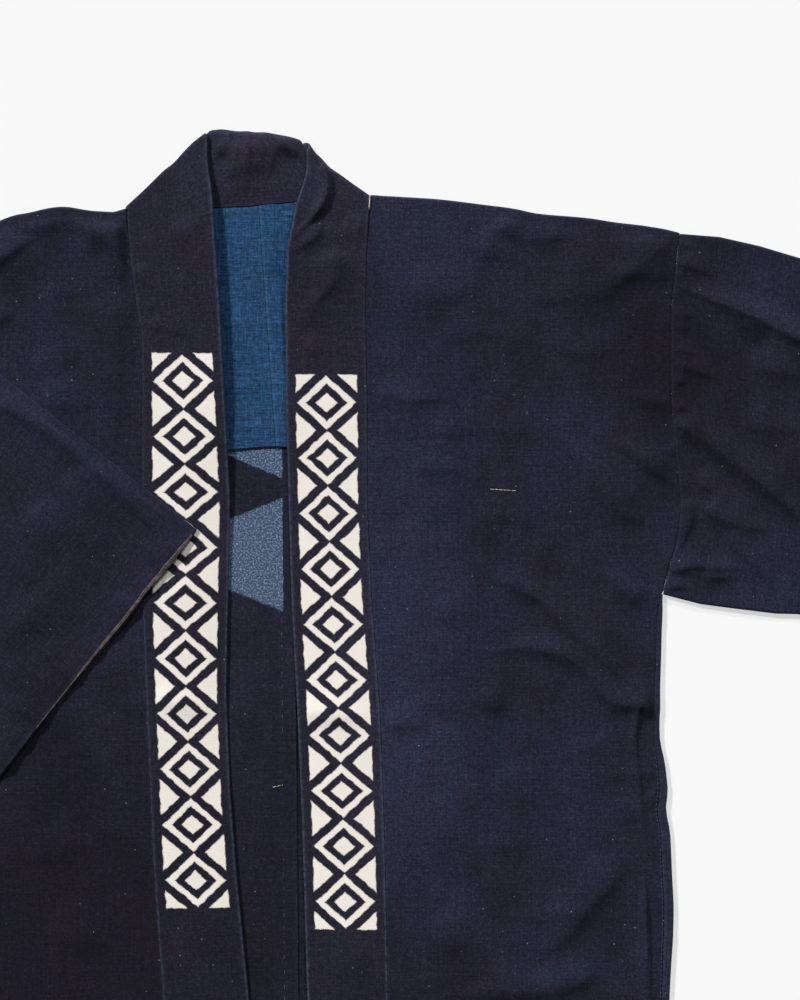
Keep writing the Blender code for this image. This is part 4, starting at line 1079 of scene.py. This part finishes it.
def cuff_facing(outer):
    """The brown facing inside the folded sleeve's cuff. Along the upper layer it has worked its way
    round the edge and shows as a narrow strip."""
    cloth = Cloth("cuff_facing_right")
    stations = np.linspace(SLEEVE_LENGTH - FACING_DEPTH, SLEEVE_LENGTH - FACING_BACK, 14)
    cloth.grid(*folded_tube(stations, shrink=0.55 * MM)[:2])

    # the strip: six rows up to the cuff's edge, and four down over it
    stations = np.linspace(SLEEVE_LENGTH - FACING_ROWS, SLEEVE_LENGTH, 15)
    points, grain, level = folded_tube(stations, shrink=-0.35 * MM, cell=COARSE)
    down = np.abs(grain[-1, :, 0])
    top = np.flatnonzero((level < -0.99) & (down > FACING_SHOWS[0]) & (down < FACING_SHOWS[1]))
    down = down[top]
    shown = read(FACING_SHOWN, "down", "by", down)
    shown = shown + 0.35 * MM * uneven(down, 0 * down, 0.006, 9) * smooth(shown / MM)
    rows = []
    for part in np.linspace(1, 0, 6):
        at = (len(stations) - 1) * (1 - part * shown / FACING_ROWS)
        low = np.minimum(at.astype(int), len(stations) - 2)
        rows.append(mix(points[low, top], points[low + 1, top], (at - low)[:, None]))
    beyond = unit(rows[-1] - rows[-2])
    rows[0][:, 2] -= 0.45 * MM
    for out, fall in FACING_TURN:
        row = rows[5] + beyond * out * MM
        row[:, 2] -= fall * MM
        rows.append(row)
    grain = stack(down, np.arange(len(rows))[:, None] * 0.8 * MM)
    cloth.grid(np.stack(rows), grain, np.array(FACING_FRAY)[:, None])
    return cloth.piece(FACING_WALL, outer)


# ---------------------------------------------------------------- sewing threads
def threads(name, path, material, stitch, pitch, width=0.42 * MM, jitter=0.25, seed=5):
    """A row of stitches along a path over the cloth, each a small flattened bead of thread.

    stitch is how long each one is, and pitch how far apart their middles are."""
    chance = np.random.default_rng(seed)
    marks = travelled(path)
    outline = [
        (width / 2 * math.cos(turn), 0.7 * width / 2 * math.sin(turn))
        for turn in np.linspace(0, 2 * math.pi, STITCH_SIDES + 1)[:-1]
    ]
    mesh = bmesh.new()
    at = pitch / 2
    while at < marks[-1] - pitch / 2:
        reach = stitch * chance.uniform(1 - jitter, 1 + jitter) / 2
        begin, finish = (
            np.array([np.interp(end, marks, column) for column in path.T]) for end in (at - reach, at + reach)
        )
        run = unit(finish - begin)
        beside = unit(np.cross((0, 0, 1), run))
        up = np.cross(run, beside)
        rings = []
        for share, girth, rise in STITCH_RINGS:
            centre = mix(begin, finish, share) + up * THREAD_LIFT * (0.4 + rise) + np.array(SHIFT)
            rings.append([mesh.verts.new(centre + girth * (beside * a + up * b)) for a, b in outline])
        for first, second in zip(rings, rings[1:]):
            for k in range(STITCH_SIDES):
                after = (k + 1) % STITCH_SIDES
                mesh.faces.new((first[k], first[after], second[after], second[k]))
        mesh.faces.new(rings[0][::-1])
        mesh.faces.new(rings[-1])
        at += pitch * chance.uniform(1 - jitter / 2, 1 + jitter / 2)
    made = bpy.data.meshes.new(name)
    mesh.to_mesh(made)
    mesh.free()
    made.shade_smooth()
    made.materials.append(material)
    return placed(name, made)


def over_front(x, y):
    """A path over the fronts: points in plan, raised to the top of the cloth."""
    return stack(x, y, front_height(x, y) + WALL / 2)


def over_back(x, y):
    """The same on the inside of the back."""
    return stack(x, y, BACK_Z + WALL / 2 + relief(x, y, BACK_FOLDS))


# ---------------------------------------------------------------- materials
def linear(code):
    """An sRGB hex colour as linear numbers."""
    parts = [int(code[i:i + 2], 16) / 255 for i in (1, 3, 5)]
    return [p / 12.92 if p <= 0.04045 else ((p + 0.055) / 1.055) ** 2.4 for p in parts] + [1.0]


def node(tree, kind, feeds=(), out=0, **settings):
    """Adds a node with its settings and what feeds its inputs, and gives one of its outputs."""
    made = tree.nodes.new("ShaderNode" + kind)
    for name, value in settings.items():
        setattr(made, name, value)
    for key, feed in feeds.items() if isinstance(feeds, dict) else enumerate(feeds):
        if isinstance(feed, bpy.types.NodeSocket):
            tree.links.new(feed, made.inputs[key])
        elif feed is not None:
            made.inputs[key].default_value = linear(feed) if isinstance(feed, str) else feed
    return made.outputs[out]


def started(name, roughness, specular):
    """A new material and its shader."""
    material = bpy.data.materials.new(name)
    material.use_nodes = True
    shader = material.node_tree.nodes["Principled BSDF"]
    shader.inputs["Roughness"].default_value = roughness
    shader.inputs["Specular IOR Level"].default_value = specular
    return material, shader


def hand_cut(add, grain):
    """The cloth's own coordinates, across and along, made a little unsteady, as a stencil cut
    by hand is."""
    shake = add("TexNoise", (grain, None, 160.0, 2.0), out=1)
    shake = add("VectorMath", (shake, (0.5, 0.5, 0.5)), operation="SUBTRACT")
    shake = add("VectorMath", {0: shake, "Scale": STENCIL_SHAKE}, operation="SCALE")
    moved = add("VectorMath", (grain, shake), operation="ADD")
    return [add("SeparateXYZ", (moved,), out=axis) for axis in range(2)]


def lozenge_chain(add, grain, ground):
    """A resist-dyed chain of lozenges down the fronts of the band, with triangles beside it."""
    across, along = hand_cut(add, grain)
    across = add("Math", (across,), operation="ABSOLUTE")
    along = add("Math", (along, CHAIN_OFF), operation="SUBTRACT")
    along = add("Math", (along,), operation="ABSOLUTE")
    row = add("Math", (along, CHAIN_FROM), operation="SUBTRACT")
    row = add("Math", (row, CHAIN_PITCH), operation="DIVIDE")
    off = add("Math", (row,), operation="FRACT")
    off = add("Math", (off, 0.5), operation="SUBTRACT")
    off = add("Math", (off,), operation="ABSOLUTE")
    reach = add("Math", (across, 1 / CHAIN_HALF), operation="MULTIPLY")
    size = add("Math", (off, 2.0, reach), operation="MULTIPLY_ADD")

    # size is 0 in the middle of a lozenge and 1 along its edge: a ring, a heart and the corners left
    ring = add("MapRange", (size, 0.65, 0.71)), add("MapRange", (size, 0.99, 0.93))
    ring = add("Math", ring, operation="MULTIPLY")
    heart = add("MapRange", (size, 0.38, 0.32))
    corner = add("MapRange", (size, 1.33, 1.39)), add("MapRange", (reach, 1.02, 0.98))
    corner = add("Math", corner, operation="MULTIPLY")
    ends = add("MapRange", (row, -0.01, 0.01)), add("MapRange", (row, CHAIN_ROWS + 0.01, CHAIN_ROWS - 0.01))
    ends = add("Math", ends, operation="MULTIPLY")
    dyed = add("Math", (add("Math", (ring, heart)), corner))
    dyed = add("Math", (dyed, ends), operation="MULTIPLY")
    return add("Mix", {0: dyed, 6: ground, 7: "#EDE6DC"}, out=2, data_type="RGBA")


def back_lozenges(colour, speckle, add, grain, ground):
    """Lozenges resist-dyed across the centre seam of the back, each smaller than the one below. The
    paste went right through the cloth, so that they show on the reverse side as well, mottled."""
    across, along = hand_cut(add, grain)
    dyed = 0.0
    for centre, half_width, half_height in BACK_LOZENGES:
        off = add("Math", (along, centre), operation="SUBTRACT")
        off = add("Math", (off,), operation="ABSOLUTE")
        reach = add("Math", (across, 1 / half_width), operation="MULTIPLY")
        size = add("Math", (off, 1 / half_height, reach), operation="MULTIPLY_ADD")
        dyed = add("Math", (dyed, add("MapRange", (size, 1.02, 0.98))))
    dyed = add("Math", (dyed, add("MapRange", (across, 0.0, 0.4 * MM))), operation="MULTIPLY")
    dots = add("TexNoise", (grain, None, 750.0, 1.0, 0.6))
    dots = add("MapRange", (dots, 0.47, 0.82, 0.0, speckle))
    paste = add("Mix", {0: dots, 6: colour, 7: "#C9D2DC"}, out=2, data_type="RGBA")
    return add("Mix", {0: dyed, 6: ground, 7: paste}, out=2, data_type="RGBA")


def cotton(name, deep, faded, worn, drawn=None, yarns=YARNS):
    """Hand-loomed cotton, dyed in the piece. Its uneven yarns make slubs both ways of the weave, the
    dye has faded in patches, the folds are rubbed pale and lint clings to it. In places it is painted
    paler or darker, partly as faded dye and partly as painted light and shade. The yarns are about
    0.4 mm apart; they are drawn at 0.8 mm, so that they show. drawn adds a dyed design."""
    material, shader = started(name, roughness=0.92, specular=0.12)
    shader.inputs["Sheen Weight"].default_value = 0.04
    shader.inputs["Sheen Roughness"].default_value = 0.6
    tree = material.node_tree
    add = partial(node, tree)
    grain = add("UVMap", uv_map="grain")
    place = add("TexCoord", out=3)

    # slubs
    weave = 0.0
    for across, along, share in yarns:
        spread = add("Mapping", (grain, (across, along, 0), None, (1000 / across, 1000 / along, 1)))
        yarn = add("TexNoise", (spread, None, 1.0, 1.0, 0.6))
        yarn = add("Math", (yarn, 0.5), operation="SUBTRACT")
        weave = add("Math", (yarn, share, weave), operation="MULTIPLY_ADD")

    # the dye, faded in patches, and paler or darker in places: partly faded dye, partly painted light and
    # shade
    fade_and_shade = FADED
    for size, amount in FADED_PATCHES:
        patch = add("TexNoise", (place, None, 1 / size, 2.0, 0.5))
        patch = add("Math", (patch, 0.5), operation="SUBTRACT")
        fade_and_shade = add("Math", (patch, amount, fade_and_shade), operation="MULTIPLY_ADD")
    for x, y, half_width, half_height, amount in FADE_AND_SHADE_PLACES:
        middle = -(x + SHIFT.x) / half_width, -(y + SHIFT.y) / half_height, 0
        spot = add("Mapping", (place, middle, None, (1 / half_width, 1 / half_height, 0)))
        spot = add("TexGradient", (spot,), out=1, gradient_type="SPHERICAL")
        spot = add("MapRange", (spot,), interpolation_type="SMOOTHSTEP")
        fade_and_shade = add("Math", (spot, amount, fade_and_shade), operation="MULTIPLY_ADD")
    colour = add("Mix", {0: fade_and_shade, 6: deep, 7: faded}, out=2, data_type="RGBA", clamp_factor=True)
    hue = add("TexNoise", (place, None, 1 / TINT_PATCHES, 2.0, 0.6))
    hue = add("MapRange", (hue, 0.32, 0.68))
    hue = add("Mix", {0: hue, 6: VIOLET_TINT, 7: BLUE_TINT}, out=2, data_type="RGBA")
    colour = add("VectorMath", (colour, hue), operation="MULTIPLY")
    tone = add("Math", (weave, 1.8, -0.02), operation="MULTIPLY_ADD")
    tone = add("Math", (tone,), operation="EXPONENT")
    colour = add("VectorMath", {0: colour, "Scale": tone}, operation="SCALE")
    if drawn:
        colour = drawn(add, grain, colour)

    # rubbed folds
    rubbed = add("Attribute", out=2, attribute_name="worn")
    patchy = add("TexNoise", (place, None, 300.0, 2.0))
    patchy = add("MapRange", (patchy, 0.35, 0.65, 0.25, 1.0))
    rubbed = add("Math", (rubbed, patchy), operation="MULTIPLY")
    colour = add("Mix", {0: rubbed, 6: colour, 7: worn}, out=2, data_type="RGBA")

    # lint, a speck in about half of its cells
    near, some = (add("TexVoronoi", (place, None, 1 / LINT_CELL), out=out) for out in range(2))
    near = add("MapRange", (near, 0.080, 0.035))
    some = add("MapRange", (add("SeparateColor", (some,)), 0.55, 1.0))
    lint = add("Math", (near, some), operation="MULTIPLY")
    lint = add("Math", (lint, 0.45), operation="MULTIPLY")
    colour = add("Mix", {0: lint, 6: colour, 7: "#A9AEBC"}, out=2, data_type="RGBA")

    raised = add("Bump", {"Height": weave, "Strength": 0.5, "Distance": 0.2 * MM})
    tree.links.new(colour, shader.inputs["Base Color"])
    tree.links.new(raised, shader.inputs["Normal"])
    return material


def sewing_thread(name, deep, pale):
    """Spun cotton thread. The twist shows as paler and darker stretches a millimetre or two long."""
    material, shader = started(name, roughness=0.85, specular=0.1)
    tree = material.node_tree
    twist = node(tree, "TexNoise", (node(tree, "TexCoord", out=3), None, 600.0, 2.0))
    twist = node(tree, "MapRange", (twist, 0.35, 0.65))
    colour = node(tree, "Mix", {0: twist, 6: deep, 7: pale}, out=2, data_type="RGBA")
    tree.links.new(colour, shader.inputs["Base Color"])
    return material


def glass():
    """The frosted top of a packing table, a little lit from below, so that shadows on it stay pale."""
    material, shader = started("frosted table glass", roughness=0.9, specular=0.1)
    shader.inputs["Base Color"].default_value = linear("#A3A3A3")
    shader.inputs["Emission Color"].default_value = linear("#FFFFFF")
    shader.inputs["Emission Strength"].default_value = 0.58
    return material


# ---------------------------------------------------------------- surface, light and camera
def surface():
    """The table that the coat lies on."""
    mesh = bpy.data.meshes.new("surface")
    corners = [(x * SURFACE_REACH, y * SURFACE_REACH, 0) for x, y in ((-1, -1), (1, -1), (1, 1), (-1, 1))]
    mesh.from_pydata(corners, [], [(0, 1, 2, 3)])
    mesh.materials.append(glass())
    floor = placed("surface", mesh)
    floor.location.z = -0.2 * MM


def light():
    """A pale room and two large softboxes that stand beyond the coat's neck, to its left and right."""
    sky = bpy.data.worlds.new("studio")
    sky.use_nodes = True
    sky.node_tree.nodes["Background"].inputs["Color"].default_value = SKY_COLOUR
    sky.node_tree.nodes["Background"].inputs["Strength"].default_value = SKY
    bpy.context.scene.world = sky
    for name, (towards, strength) in LAMPS.items():
        lamp = bpy.data.lights.new(name, "SUN")
        lamp.energy = strength
        lamp.angle = LAMP_SPREAD
        placed(name, lamp).rotation_euler = Vector(towards).to_track_quat("Z", "Y").to_euler()


def camera():
    """It looks straight down from well above, so that nothing leans outwards."""
    lens = bpy.data.cameras.new("camera")
    lens.sensor_fit = "VERTICAL"
    lens.sensor_height = FILM_HEIGHT
    lens.lens = FILM_HEIGHT * CAMERA_HEIGHT / VIEW_HEIGHT
    lens.clip_start = 0.1
    eye = placed("camera", lens)
    eye.location = Vector((*VIEW_CENTRE, CAMERA_HEIGHT)) + SHIFT
    bpy.context.scene.camera = eye


# ---------------------------------------------------------------- the whole coat
def coat():
    """Every piece of cloth, by the solid that it is drawn over."""
    outside = partial(back_lozenges, "#E8E1D6", 0.1)
    inside = partial(back_lozenges, "#374D6A", 0.50)
    indigo = cotton("indigo cotton", "#15121E", "#26293D", "#444C60", drawn=outside)
    reverse = cotton("indigo cotton reverse", "#15131D", "#232638", "#444C60", drawn=inside)
    collar_cloth = cotton("indigo collar cotton", "#191824", "#272535", "#465066", drawn=lozenge_chain)
    lining = cotton("pale indigo lining cotton", "#17365A", "#294D6E", "#5F8AA6", yarns=COARSE_YARNS)
    brown = cotton("brown facing cotton", "#2F2826", "#443B38", "#6E6666")

    pieces = {}
    for side in (LEFT, RIGHT):
        pieces["body_" + side.name] = [body_half(side, indigo, reverse)]
        pieces["lining_" + side.name] = [lining_half(side, lining)]
    pieces["collar"] = [collar(collar_cloth)]
    pieces["sleeve_left"] = [spread_sleeve(indigo, reverse)]
    pieces["sleeve_right"] = [folded_sleeve(indigo, reverse), cuff_facing(brown)]
    return pieces


def sewing():
    """The stitches that show, and two threads that have come loose."""
    cream = sewing_thread("cream sewing thread", "#BDB5A8", "#E4DDD0")
    pale = sewing_thread("indigo sewing thread", "#323A4E", "#525C74")
    down = np.linspace(-0.296, HEM_Y + 0.012, 120)
    running = over_back(back_seam_x(down), down) - (1.4 * MM, 0, 0)
    sewn = [threads("back_seam_stitches", running, pale, 4.5 * MM, 10 * MM, 0.55 * MM)]
    down = np.linspace(-0.405, FRONT_HEM_Y + 0.01, 160)
    for side in (LEFT, RIGHT):
        x = side.edge_x(down, side.wrap(down) + 1.2 * MM)
        name = "side_seam_stitches_" + side.name
        sewn.append(threads(name, over_front(x, down), pale, 2.5 * MM, 3.1 * MM, seed=7))
    for name, over, ends, stitch, pitch in (
        ("loose_fibre_front", over_front, ((0.1687, -0.2139), (0.1894, -0.2153)), 3.1 * MM, 3.2 * MM),
        ("loose_fibre_inside", over_back, ((0.0081, -0.4344), (0.0207, -0.4314)), 3.0 * MM, 3.1 * MM),
    ):
        fibre = over(*np.linspace(*ends, 6).T)
        sewn.append(threads(name, fibre, cream, stitch, pitch, jitter=0.05))
    loop = stack((0.0800, 0.0795, 0.0791), (0.0038, -0.0030, -0.0100), COLLAR_Z + 1.4 * MM)
    sewn.append(threads("neck_stitch", loop, cream, 11.5 * MM, 12 * MM, 0.9 * MM, jitter=0))
    return sewn


def main():
    for name, made in coat().items():
        for piece in made:
            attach(piece, "root")
            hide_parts(name)
            cut, area, held, rests_on = CUTS[piece.name]
            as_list(rests_on)
    for piece in sewing():
        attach(piece, "root")
    surface()
    light()
    camera()


main()
bpy.context.scene.view_settings.view_transform = "Standard"
